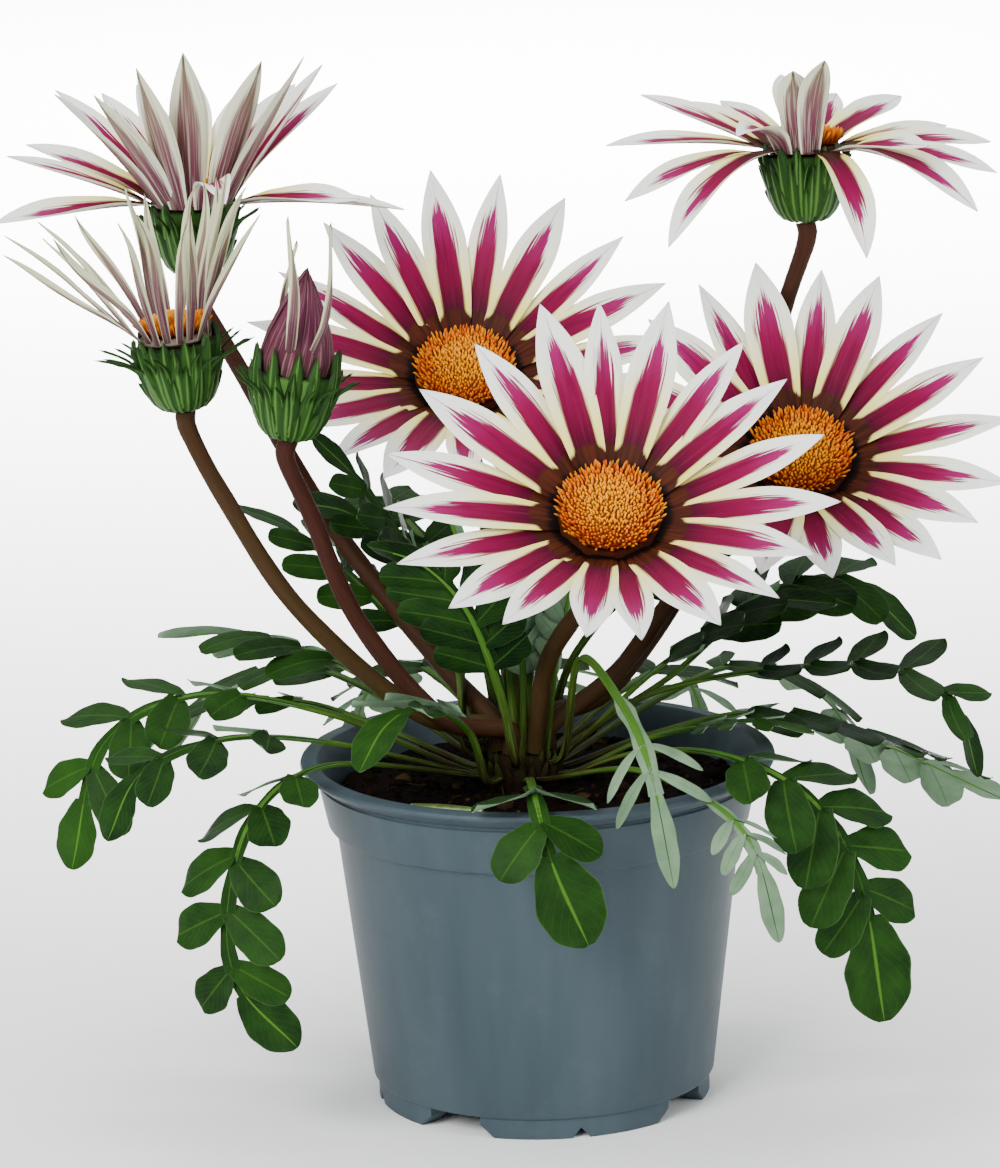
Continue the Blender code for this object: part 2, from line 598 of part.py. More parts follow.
def make_petal(flower, route, side, turn, full, colour):
    """One pointed petal, widest past its middle."""
    last = len(route) - 1
    rows = [(route[round(share * last)], wide * full) for share, wide in PETAL_SPREAD]
    points = []
    for row, (place, wide) in enumerate(rows[:-1]):
        points += [place - side * wide / 2, place + side * wide / 2]
    points.append(rows[-1][0])
    triangles = []
    for row in range(len(rows) - 2):
        a, b, c, d = 2 * row, 2 * row + 1, 2 * row + 3, 2 * row + 2
        triangles += [(a, d, b), (d, c, b)]
    tip = len(points) - 1
    triangles.append((tip - 2, tip, tip - 1))
    places = [flower["place"] + turn @ point for point in points]
    normals = [turn @ normal for normal in petal_normals(rows, side)]
    depths = [PETAL_THICKNESS] * len(points)
    return thicken("petal", places, normals, depths, triangles, colour, 0.6)


def petal_normals(rows, side):
    """One normal for each row's points, square to the petal's midline."""
    normals = []
    for row in range(len(rows)):
        low, high = max(row - 1, 0), min(row + 1, len(rows) - 1)
        along = (rows[high][0] - rows[low][0]).normalized()
        normal = along.cross(side).normalized()
        normals.append(normal)
        if row < len(rows) - 1:
            normals.append(normal)
    return normals


def make_disc(flower):
    """The domed disc, covered in florets as a relief of alternating knobs."""
    turn = head_frame(flower)
    radius, height = flower["disc"], DISC_HEIGHT
    low = CLEARANCE
    profile = ((0, low), (radius - 0.6, low), (radius, low + 0.9), (radius * 0.93, height * 0.55),
               (radius * 0.72, height * 0.80), (radius * 0.45, height * 0.92), (0, height * 0.90))

    def knobs(row, column):
        if row == 0:
            return 0.0, 0.0
        return (0.0, 1.3) if (row + column) % 2 else (0.0, 0.0)

    points, faces = lathe(profile, 18, knobs)
    places = [flower["place"] + turn @ point for point in points]
    return add_piece("disc_" + flower["name"], places, faces, (0.62, 0.26, 0.02), 0.7)


def make_cup(flower):
    """The involucre: a closed green cup whose bracts stand out in two pointed rows."""
    turn = head_frame(flower)
    top = -DRUM_HEIGHT - CLEARANCE
    bottom = top - CUP_HEIGHT
    tips = flower["tips"]
    profile = (
        (0, bottom), (CUP_BOTTOM_RADIUS, bottom), (CUP_RADIUS * 0.68, bottom + 3.5),
        (CUP_RADIUS * 0.86, bottom + 7.0), (CUP_RADIUS * 0.84, bottom + 8.6),
        (CUP_RADIUS * 0.98, top - 3.4), (CUP_RADIUS * 0.94, top), (0, top),
    )

    def bracts(row, column):
        if row == 2:
            return (1.9, 2.6) if column % 2 else (0.0, -0.8)
        if row == 4:
            return (0.0, -0.6) if column % 2 else (tips - CUP_RADIUS, 2.2)
        return 0.0, 0.0

    points, faces = lathe(profile, CUP_COLUMNS, bracts)
    places = [flower["place"] + turn @ point for point in points]
    return add_piece("cup_" + flower["name"], places, faces, GREEN, 0.6)


def make_bud():
    """The closed bud: petals wrapped in a twisted point, and three loose narrow ones."""
    turn = head_frame(BUD)
    sides = 2 * BUD_RIDGES
    low = -DRUM_HEIGHT
    profile = ((0, low), (BUD_RADIUS * 0.88, low), (BUD_RADIUS * 0.92, BUD_HEIGHT * 0.14),
               (BUD_RADIUS * 0.80, BUD_HEIGHT * 0.36), (BUD_RADIUS * 0.57, BUD_HEIGHT * 0.60),
               (BUD_RADIUS * 0.30, BUD_HEIGHT * 0.82), (0, BUD_HEIGHT))

    def wraps(row, column):
        return (-0.9, 0.0) if column % 2 and 0 < row < 5 else (0.0, 0.0)

    points, faces = lathe(profile, sides, wraps)
    colour = (0.25, 0.09, 0.12)
    pieces = [add_piece("wrap", [BUD["place"] + turn @ p for p in points], faces, colour, 0.6)]
    for angle, lean, length in ((165, 12, 38), (205, 4, 36), (20, 6, 26)):
        pieces.append(make_strip(math.radians(angle), math.radians(lean), length, turn, colour))
    return fuse("petals_bud", pieces, colour, 0.6)


def make_strip(angle, lean, length, turn, colour):
    """A narrow loose petal beside the bud."""
    outward = Vector((math.cos(angle), math.sin(angle), 0))
    side = Vector((-math.sin(angle), math.cos(angle), 0))
    base = outward * (BUD_RADIUS * 0.80) + Vector((0, 0, 2.0))
    rows = []
    for share, wide in ((0.0, 2.6), (0.16, 2.8), (0.55, 2.6), (1.0, 0.0)):
        out = outward * (math.sin(lean) * share * length + 2.6 * min(share * 4, 1.0))
        rows.append((base + out + UP * math.cos(lean) * share * length, wide))
    points = []
    for place, wide in rows[:-1]:
        points += [place - side * wide / 2, place + side * wide / 2]
    points.append(rows[-1][0])
    triangles = []
    for row in range(len(rows) - 2):
        a, b, c, d = 2 * row, 2 * row + 1, 2 * row + 3, 2 * row + 2
        triangles += [(a, d, b), (d, c, b)]
    tip = len(points) - 1
    triangles.append((tip - 2, tip, tip - 1))
    places = [BUD["place"] + turn @ point for point in points]
    normals = [turn @ normal for normal in petal_normals(rows, side)]
    return thicken("strip", places, normals, [PETAL_THICKNESS] * len(points), triangles, colour, 0.6)


def leaf_rib(shape):
    """The rib's curve, from just off the crown's side through the leaf's points."""
    angle = math.radians(shape["start"])
    outward = Vector((math.cos(angle), math.sin(angle), 0))
    rise = 0.25 if shape["ring"] == LOW_RING else 0.9
    first = CROWN_PLACE + outward * (CROWN_RADIUS + CLEARANCE + 0.1) + Vector((0, 0, shape["ring"]))
    second = first + (outward + UP * rise).normalized() * 6.0
    points = [first, second] + [Vector(point) for point in shape["route"]]
    return Rib(points, (UP - outward * rise).normalized())


def blade_frame(rib, distance, shape, bare):
    """The rib's frame, turned about the rib along the blade."""
    place, tangent, side, normal = rib.frame(min(distance, rib.length))
    if distance > rib.length:
        place = place + tangent * (distance - rib.length)
    share = min(max((distance - bare) / (rib.length - bare), 0.0), 1.0)
    turn = Matrix.Rotation(math.radians(shape["turn"]) * share, 3, tangent)
    return place, tangent, turn @ side, turn @ normal


def make_leaf(shape):
    """A lobed leaf: a stalk and rib strip, side lobes cut to the rib, and an end lobe."""
    rng = random.Random(shape["name"])
    rib = leaf_rib(shape)
    bare = rib.length * shape["bare"]
    pairs, lobe = shape["pairs"], shape["lobe"]
    rib_end = rib.length - shape["tip"]
    pitch = (rib_end - bare) / pairs
    base = min(pitch * 0.25, 1.9)
    stations = [(bare * share, STALK_WIDTH / 2, STALK_THICKNESS) for share in (0.0, 0.25, 0.62)]
    for pair in range(pairs):
        middle = bare + (pair + 0.5) * pitch
        wide = 1.5 - 0.5 * pair / pairs
        stations += [(middle - base, wide, BLADE_THICKNESS), (middle + base, wide, BLADE_THICKNESS)]
    stations.append((rib_end, 1.3, BLADE_THICKNESS))
    points, normals, depths, triangles = [], [], [], []

    def add_point(frame, along, aside, lift, depth):
        place, tangent, side, normal = frame
        points.append(place + tangent * along + side * aside + normal * lift)
        normals.append(normal)
        depths.append(depth)
        return len(points) - 1

    rows = []
    for distance, wide, depth in stations:
        frame = blade_frame(rib, distance, shape, bare)
        rows.append((add_point(frame, 0, -wide, 0, depth), add_point(frame, 0, wide, 0, depth)))
    for (a, b), (d, c) in zip(rows, rows[1:]):
        triangles += [(a, b, d), (b, c, d)]
    fold = shape["fold"]
    for pair in range(pairs):
        row = 3 + 2 * pair
        frame = blade_frame(rib, bare + (pair + 0.5) * pitch, shape, bare)
        size = lobe * (0.66 + 0.34 * math.sin(math.pi * (pair + 1.2) / (pairs + 1.4)))
        half = min(size * 0.29 * shape["slim"], pitch * 0.53)
        lean = math.radians(60 if pair < pairs - 1 else 52)
        for hand in (-1, 1):
            long = size * rng.uniform(0.88, 1.08)
            near, far = (rows[row][0], rows[row + 1][0]) if hand < 0 else (rows[row][1], rows[row + 1][1])
            outline = []
            for share, wide in ((0.62, -half), (1.0, 0.0), (0.62, half)):
                along = long * share * math.cos(lean) + wide * math.sin(lean)
                aside = 1.2 + long * share * math.sin(lean) - wide * math.cos(lean)
                lift = fold * long * share * share + wide * LOBE_TWIST
                outline.append(add_point(frame, along, hand * aside, lift, BLADE_THICKNESS))
            fan = [(near, outline[0], far), (outline[0], outline[2], far), (outline[0], outline[1], outline[2])]
            triangles += [(a, c, b) if hand < 0 else (a, b, c) for a, b, c in fan]
    frame = blade_frame(rib, rib_end, shape, bare)
    tip_frame = blade_frame(rib, rib.length, shape, bare)
    middle_frame = blade_frame(rib, rib_end + shape["tip"] * 0.55, shape, bare)
    half = shape["tip"] * 0.27 * shape["slim"]
    left = add_point(middle_frame, 0, -half, 0, BLADE_THICKNESS)
    right = add_point(middle_frame, 0, half, 0, BLADE_THICKNESS)
    tip = add_point(tip_frame, 0, 0, 0, BLADE_THICKNESS)
    a, b = rows[-1]
    triangles += [(a, b, left), (b, right, left), (left, right, tip)]
    return thicken(shape["name"], points, normals, depths, triangles, GREEN, 0.55)


def build():
    clear_scene()
    make_pot()
    make_soil()
    make_crown()
    make_cut_petiole()
    heads = {flower["name"]: flower for flower in HEADS}
    heads["bud"] = BUD
    for flower in HEADS:
        make_petals(flower)
        make_disc(flower)
        make_cup(flower)
    make_bud()
    make_cup(BUD)
    for name, start, route in STEMS:
        make_stem(heads[name], start, route)
    for shape in LEAVES:
        make_leaf(shape)


build()
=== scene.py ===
# %% [markdown]
# # A gazania in its nursery pot
# This lesson dresses a potted gazania: a low plant of lobed leaves with six striped flower
# heads and one bud, growing in a grey-blue plastic pot of 12 cm.
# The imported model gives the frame: where each petal, leaf and stem is, in metres.
# Each piece here is drawn again on the same curves with a finer mesh, because a leaf or a
# petal shows its form in its edge, its fold and its veins, and not in its outline alone.

# %% Load the frame
import json
from math import cos, hypot, pi, radians, sin, sqrt, tan, tau
import random
from collections import namedtuple
from functools import partial

import bmesh
import bpy
import numpy as np
from mathutils import Matrix, Vector, noise

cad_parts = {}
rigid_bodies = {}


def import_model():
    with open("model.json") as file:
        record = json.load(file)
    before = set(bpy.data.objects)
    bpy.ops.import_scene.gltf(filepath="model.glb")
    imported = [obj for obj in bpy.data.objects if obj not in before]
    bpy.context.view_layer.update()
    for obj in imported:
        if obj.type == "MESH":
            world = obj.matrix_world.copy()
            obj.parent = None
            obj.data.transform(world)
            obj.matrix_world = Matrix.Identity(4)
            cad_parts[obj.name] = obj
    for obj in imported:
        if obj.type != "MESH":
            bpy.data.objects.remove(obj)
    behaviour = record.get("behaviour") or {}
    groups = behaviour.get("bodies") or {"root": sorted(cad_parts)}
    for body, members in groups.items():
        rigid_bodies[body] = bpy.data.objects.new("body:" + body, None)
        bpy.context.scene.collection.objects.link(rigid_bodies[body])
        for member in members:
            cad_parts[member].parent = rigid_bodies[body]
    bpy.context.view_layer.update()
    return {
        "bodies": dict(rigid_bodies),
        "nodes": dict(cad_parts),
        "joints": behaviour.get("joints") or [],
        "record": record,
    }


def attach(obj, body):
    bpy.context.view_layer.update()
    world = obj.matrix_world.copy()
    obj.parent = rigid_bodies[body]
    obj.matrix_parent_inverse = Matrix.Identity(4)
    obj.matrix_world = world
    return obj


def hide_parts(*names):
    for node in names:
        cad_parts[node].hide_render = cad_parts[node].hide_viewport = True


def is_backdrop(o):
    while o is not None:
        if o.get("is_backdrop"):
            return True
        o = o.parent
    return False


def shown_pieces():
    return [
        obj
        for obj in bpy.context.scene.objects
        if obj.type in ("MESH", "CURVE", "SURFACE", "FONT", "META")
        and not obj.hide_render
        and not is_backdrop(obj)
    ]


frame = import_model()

# %% [markdown]
# ## Units and colours
# Sizes are in millimetres in the pot's own frame: the pot's axis is Z, its feet stand at 0,
# +X is to the right and +Y is away from the viewer. One shift and one scale bring a point
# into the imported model's frame. Colours are written as sRGB hex values, as they are read in
# a colour chart, and one function turns them to the linear values that Blender mixes with.

# %% Units and colours
MM = 0.001
PLANT_SHIFT = Vector((6.6, 0.5, 0.0))
CLEARANCE = 0.3
UP = Vector((0.0, 0.0, 1.0))
SMOOTH = {"interpolation_type": "SMOOTHSTEP"}


def linear(code):
    """An sRGB hex colour as linear red, green, blue and alpha."""
    channels = [int(code[place:place + 2], 16) / 255 for place in (1, 3, 5)]
    return tuple(c / 12.92 if c <= 0.04045 else ((c + 0.055) / 1.055) ** 2.4 for c in channels) + (1.0,)


# %% [markdown]
# ## One function for nodes
# A procedural material is a small tree of nodes. Every node is added in the same way. The
# values in order fill its inputs from the top, and each can be a number, a colour, a node
# or a socket; None leaves an input as it is. "Math:POWER" is a Math node set to POWER. A
# name in small letters is a property, and a name with a capital is an input.

# %% Functions that add a node and start a material
def put(tree, socket, value):
    """Gives an input a number or a colour, or links it to a node's first live output or a socket."""
    if isinstance(value, bpy.types.Node):
        value = next(output for output in value.outputs if output.enabled)
    if isinstance(value, bpy.types.NodeSocket):
        tree.links.new(value, socket)
    elif value is not None:
        socket.default_value = linear(value) if isinstance(value, str) else value


def add_node(tree, kind, *values, stops={}, **named):
    """Adds one node with its properties, inputs and colour stops."""
    kind, _, operation = kind.partition(":")
    made = tree.nodes.new("ShaderNode" + kind)
    properties = {key: value for key, value in named.items() if key[0].islower()}
    if operation:
        properties["operation"] = operation
    if kind == "Mix":
        properties["data_type"] = "RGBA"
    for key, value in properties.items():
        setattr(made, key, value)
    for number, (place, colour) in enumerate(stops.items()):
        elements = made.color_ramp.elements
        if number == 0:
            elements.remove(elements[1])
        stop = elements.new(place) if number else elements[0]
        stop.position = place
        stop.color = linear(colour) if isinstance(colour, str) else (colour, colour, colour, 1.0)
    live = [socket for socket in made.inputs if socket.enabled]
    for socket, value in zip(live, values):
        put(tree, socket, value)
    for key, value in named.items():
        if key not in properties:
            put(tree, made.inputs[key.replace("_", " ")], value)
    return made


def start_material(name, **inputs):
    """A new material, with its shader's own values. Returns it, its shader and its node adder."""
    material = bpy.data.materials.new(name)
    material.use_nodes = True
    shader = material.node_tree.nodes["Principled BSDF"]
    connect(shader, **inputs)
    return material, shader, partial(add_node, material.node_tree)


def connect(shader, **sources):
    """Fills the shader's inputs, with _ for a space in their names."""
    for key, source in sources.items():
        put(shader.id_data, shader.inputs[key.replace("_", " ")], source)


def read_skin(add, wanted):
    """The wanted values of a skin: along, across, edge (0 in the middle, 1 at the rim),
    tint and reach, which each point keeps, and spot, its place in metres."""
    place = add("SeparateXYZ", add("TexCoord").outputs["UV"]).outputs
    makers = {
        "along": lambda: place["X"],
        "across": lambda: place["Y"],
        "edge": lambda: add("Math:ABSOLUTE", add("Math:MULTIPLY_ADD", place["Y"], 2.0, -1.0)),
        "tint": lambda: add("Attribute", attribute_name="tint").outputs["Fac"],
        "reach": lambda: add("Attribute", attribute_name="reach").outputs["Fac"],
        "spot": lambda: add("TexCoord").outputs["Object"],
    }
    return [makers[key]() for key in wanted.split()]


def streaks(add, across, along, tint, detail, *scales):
    """Noise drawn out along a blade, and its place; the scales are across, along and by tint."""
    place = add("CombineXYZ", *(add("Math:MULTIPLY", value, scale)
                                for value, scale in zip((across, along, tint), scales)))
    return add("TexNoise", place, 1.0, detail).outputs["Fac"], place

# %% [markdown]
# ## A skin of points and faces
# Plants are made of thin blades and round stalks, so two builders do nearly all the work:
# one lays a blade on a row of cross lines, and one lays a tube on a row of rings.
# Every point keeps where it is along and across its blade as a UV place, and two numbers:
# a tint that differs from blade to blade, and its reach in millimetres from the middle of
# the flower. The materials read those, so the stripes and veins follow each petal.

# %% The skin that gathers points and faces
class Skin:
    """The points and faces of one piece, with the place, tint and reach of each point."""

    def __init__(self):
        self.points, self.faces, self.slots = [], [], []
        self.places, self.tints, self.reaches = [], [], []

    def point(self, place, along=0.0, across=0.5, tint=0.5, reach=0.0):
        self.points.append(place)
        self.places.append((along, across))
        self.tints.append(tint)
        self.reaches.append(reach)
        return len(self.points) - 1

    def face(self, corners, slot=0):
        self.faces.append(tuple(corners))
        self.slots.append(slot)

    def join(self, before, after, slot=0, turned=False):
        """Faces between two rings, or a fan where one of them is a single point."""
        count = max(len(before), len(after))
        for column in range(count):
            beside = (column + 1) % count
            first, second = ((ring[column % len(ring)], ring[beside % len(ring)]) for ring in (before, after))
            corners = (first[0], second[0], second[1], first[1])
            if turned:
                corners = (first[0], first[1], second[1], second[0])
            self.face(dict.fromkeys(corners), slot)

    def build(self, name, materials, node, slot, sharp=50):
        """The finished object: it stands for the frame's node and hides it. The slot is not used."""
        mesh = bpy.data.meshes.new(name)
        mesh.from_pydata([(point + PLANT_SHIFT) * MM for point in self.points], [], self.faces)
        for material in materials:
            mesh.materials.append(material)
        mesh.polygons.foreach_set("material_index", self.slots)
        corners = np.empty(len(mesh.loops), dtype=np.int32)
        mesh.loops.foreach_get("vertex_index", corners)
        mesh.uv_layers.new(name="UVMap").data.foreach_set("uv", np.array(self.places)[corners].ravel())
        for key, values in (("tint", self.tints), ("reach", self.reaches)):
            mesh.attributes.new(key, "FLOAT", "POINT").data.foreach_set("value", values)
        mesh.shade_smooth()
        mesh.set_sharp_from_angle(angle=radians(sharp))
        piece = bpy.data.objects.new(name, mesh)
        bpy.context.collection.objects.link(piece)
        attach(piece, "root")
        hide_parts(node)
        return piece


# %% A blade and a tube
def blade(skin, rows, columns, lift, tint, slots=(0, 1)):
    """A thin blade. Each row is its place, side, normal, half width, thickness, share along
    and reach; the last row is the tip. lift(along, across) raises a point above its row."""
    upper, under = [], []
    for place, side, normal, half, thick, along, reach in rows[:-1]:
        top, low = [], []
        for column in range(columns + 1):
            across = 2.0 * column / columns - 1.0
            middle = place + side * (half * across) + normal * lift(along, across)
            keys = (along, (across + 1.0) / 2.0, tint, reach)
            if column in (0, columns):
                rim = skin.point(middle, *keys)
                top.append(rim)
                low.append(rim)
            else:
                swell = normal * (thick / 2.0 * sqrt(1.0 - across * across))
                top.append(skin.point(middle + swell, *keys))
                low.append(skin.point(middle - swell, *keys))
        upper.append(top)
        under.append(low)
    place, side, normal, half, thick, along, reach = rows[-1]
    tip = skin.point(place + normal * lift(along, 0.0), along, 0.5, tint, reach)
    for grid, slot, step in ((upper, slots[0], 1), (under, slots[1], -1)):
        for before, after in zip(grid, grid[1:]):
            for left in range(columns):
                skin.face((before[left], before[left + 1], after[left + 1], after[left])[::step], slot)
        last = grid[-1]
        for left in range(columns):
            skin.face((last[left], last[left + 1], tip)[::step], slot)


def tube(skin, rings, sides, tint, slot=0, dent=0.0):
    """A closed tube. Each ring is its place, side, normal, half width, half height, share
    along and reach; dent sinks a channel in its upper side."""
    made = []
    for place, side, normal, wide, high, along, reach in rings:
        ring = []
        for column in range(sides):
            angle = tau * column / sides
            rise = sin(angle)
            rise *= 1.0 - dent * max(rise, 0.0) ** 6
            offset = side * (wide * cos(angle)) + normal * (high * rise)
            ring.append(skin.point(place + offset, along, abs(2.0 * column / sides - 1.0), tint, reach))
        made.append(ring)
    for before, after in zip(made, made[1:]):
        skin.join(before, after, slot)
    skin.face(made[0], slot)
    skin.face(made[-1][::-1], slot)


def lathe(skin, profile, sides, place, turn, tint=0.5, slot=0, wave=None):
    """A turned body on the flower's or the pot's axis; wave(row, angle) moves a point out and up."""
    rows = []
    last = len(profile) - 1
    for row, (radius, height) in enumerate(profile):
        ring = []
        for column in range(1 if radius == 0.0 else sides):
            angle = tau * column / sides
            grow, rise = wave(row, angle) if wave else (0.0, 0.0)
            local = polar(radius + grow, angle, height + rise)
            ring.append(skin.point(place + turn @ local, row / last, column / sides, tint, radius + grow))
        rows.append(ring)
    for before, after in zip(rows, rows[1:]):
        skin.join(before, after, slot, turned=True)


def polar(radius, angle, height):
    return Vector((radius * cos(angle), radius * sin(angle), height))


def shares(steps):
    """The shares of a length at which it is cut into equal steps, from 0 to 1."""
    return [step / steps for step in range(steps + 1)]


def ways(angle):
    """The level ways outward and across at an angle round an axis."""
    return polar(1.0, angle, 0.0), Vector((-sin(angle), cos(angle), 0.0))


def outline(share, base, widest, power, root=1.0):
    """A blade's half width at a share of its length: base at its foot, 1 where it is widest,
    and 0 at its tip. A larger power is fuller, and a root of 2 rounds the tip."""
    if share < widest:
        return base + (1.0 - base) * sin(pi / 2.0 * share / widest)
    past = (share - widest) / (1.0 - widest)
    return max(1.0 - past ** power, 0.0) ** (1.0 / root)


# %% [markdown]
# ## Curves that don't twist
# A stem or a leaf's rib passes through a few points in space. A Catmull-Rom curve joins
# them smoothly, and a normal is carried along it from point to point, so that the leaf
# doesn't roll over by itself. The frame was made with the same curve, so they agree.

# %% The rib's curve
def catmull(points, share):
    """A point on the smooth curve through the points, at a share of their count."""
    last = len(points) - 1
    place = min(max(share, 0.0), 1.0) * last
    index = min(int(place), last - 1)
    t = place - index
    before = points[index - 1] if index > 0 else points[0] * 2 - points[1]
    after = points[index + 2] if index + 2 <= last else points[last] * 2 - points[last - 1]
    start, end = points[index], points[index + 1]
    b = (end - before) * t
    c = (before * 2 - start * 5 + end * 4 - after) * t * t
    d = (start * 3 - before - end * 3 + after) * t * t * t
    return (start * 2 + b + c + d) * 0.5


class Rib:
    """A smooth curve measured by length, with a side and a normal that don't twist."""

    def __init__(self, points, first_normal, steps=96):
        self.points = [catmull(points, step / steps) for step in range(steps + 1)]
        self.lengths = [0.0]
        for before, after in zip(self.points, self.points[1:]):
            self.lengths.append(self.lengths[-1] + (after - before).length)
        self.length = self.lengths[-1]
        self.normals = []
        normal = first_normal
        for index in range(steps + 1):
            tangent = self.tangent_at(index)
            normal = (normal - tangent * normal.dot(tangent)).normalized()
            self.normals.append(normal)

    def tangent_at(self, index):
        low = max(index - 1, 0)
        high = min(index + 1, len(self.points) - 1)
        return (self.points[high] - self.points[low]).normalized()

    def frame(self, distance):
        """Place, tangent, side and normal at a distance along the curve."""
        index = 0
        while index < len(self.lengths) - 2 and self.lengths[index + 1] < distance:
            index += 1
        span = self.lengths[index + 1] - self.lengths[index]
        t = (distance - self.lengths[index]) / span
        place = self.points[index].lerp(self.points[index + 1], t)
        tangent = self.tangent_at(index).lerp(self.tangent_at(index + 1), t).normalized()
        normal = self.normals[index].lerp(self.normals[index + 1], t)
        normal = (normal - tangent * normal.dot(tangent)).normalized()
        return place, tangent, tangent.cross(normal), normal


# %% [markdown]
# ## The camera
# The photograph was taken from a little above the flowers with a long lens. The pot's rim,
# step and base are circles of known size, so their ellipses in the picture give the
# camera's distance, height and tilt. The camera comes first, because every later step is
# judged through it.

# %% The camera
CAMERA_PLACE = Vector((-8.44, -1500.0, 488.6))
CAMERA_PITCH = radians(13.35)
CAMERA_ROLL = radians(-1.32)
FRAME_WIDTHS_AWAY = 6.1448
SENSOR = 36.0

forward = Vector((0.0, cos(CAMERA_PITCH), -sin(CAMERA_PITCH)))
level_up = Vector((0.0, sin(CAMERA_PITCH), cos(CAMERA_PITCH)))
right = Vector((cos(CAMERA_ROLL), 0.0, 0.0)) + level_up * sin(CAMERA_ROLL)
camera_up = right.cross(forward)
lens = bpy.data.cameras.new("studio camera")
lens.sensor_fit = "HORIZONTAL"
lens.sensor_width = SENSOR
lens.lens = SENSOR * FRAME_WIDTHS_AWAY
camera = bpy.data.objects.new("studio camera", lens)
bpy.context.collection.objects.link(camera)
camera.matrix_world = (Matrix.Translation((CAMERA_PLACE + PLANT_SHIFT) * MM)
                       @ Matrix((right, camera_up, -forward)).transposed().to_4x4())
bpy.context.scene.camera = camera
print("lens: %.0f mm, %.2f m from the pot's axis" % (lens.lens, -CAMERA_PLACE.y * MM))

# %% [markdown]
# ## Floor and light
# The plant was photographed for a catalogue: on white, with large soft lamps and hardly a
# shadow. A wide sheet of pale paper under the pot gives the same calm ground, and because
# the camera looks down, the paper alone fills the picture behind the plant.
# One large lamp from the front left gives the petals their form, a weaker one on the right
# fills the leaves, one above lights the flowers' faces, and a narrow one behind the plant
# whitens the paper.

# %% The paper floor
PAPER_HALF_WIDTH = 6.0

paper, paper_shader, add = start_material("white background paper, matt, 250 g", Roughness=0.9)
paper_grain = add("TexNoise", None, 900.0, 2.0)
connect(paper_shader, Base_Color=add("Mix", paper_grain, "#f4f4f2", "#fafaf8"))
paper_mesh = bpy.data.meshes.new("paper floor")
paper_mesh.from_pydata([(x, y, 0.0) for x, y in ((-1, -1), (1, -1), (1, 1), (-1, 1))], [], [(0, 1, 2, 3)])
paper_mesh.transform(Matrix.Scale(PAPER_HALF_WIDTH, 4))
paper_mesh.materials.append(paper)
paper_floor = bpy.data.objects.new("paper_floor", paper_mesh)
bpy.context.collection.objects.link(paper_floor)
paper_floor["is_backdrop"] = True
print("paper floor: %.0f m wide" % (2 * PAPER_HALF_WIDTH))

# %% The lamps
LAMPS = (
    ("front lamp", (-0.9, -1.5, 1.2), 1.0, 58.0, 180, (0.0, 0.0, 0.13)),
    ("side lamp", (1.5, -0.9, 0.8), 0.9, 16.0, 180, (0.0, 0.0, 0.13)),
    ("top lamp", (0.1, 0.0, 1.6), 1.0, 10.0, 180, (0.0, 0.0, 0.13)),
    ("paper lamp", (0.0, 1.7, 1.7), 1.3, 120.0, 72, (0.0, 1.6, 0.0)),
)
for name, place, size, power, spread, aim in LAMPS:
    lamp = bpy.data.lights.new(name, "AREA")
    lamp.shape = "SQUARE"
    lamp.size = size
    lamp.energy = power
    lamp.spread = radians(spread)
    stand = bpy.data.objects.new(name, lamp)
    bpy.context.collection.objects.link(stand)
    stand.location = place
    stand.rotation_euler = (Vector(aim) - Vector(place)).to_track_quat("-Z", "Y").to_euler()
ROOM_COLOUR = "#f6f8ff"
ROOM_STRENGTH = 0.8
sky = bpy.data.worlds.new("studio room")
sky.use_nodes = True
sky.node_tree.nodes["Background"].inputs["Color"].default_value = linear(ROOM_COLOUR)
sky.node_tree.nodes["Background"].inputs["Strength"].default_value = ROOM_STRENGTH
bpy.context.scene.world = sky
print("lamps:", ", ".join("%s %.0f W" % (lamp[0], lamp[3]) for lamp in LAMPS))

# %% [markdown]
# ## The petals
# A gazania's petals are ray florets: long pointed blades, widest past their middle, that
# stand in two overlapping circles round the disc. Each is white with a magenta stripe that
# runs out in feathers, cream at its margins near the foot, and brown at its very foot, so
# that all the feet together make a ring.
# The stripe could be a painted texture, but a pattern worked out from the place along and
# across each petal stays sharp, and a lengthwise streak noise feathers its end.

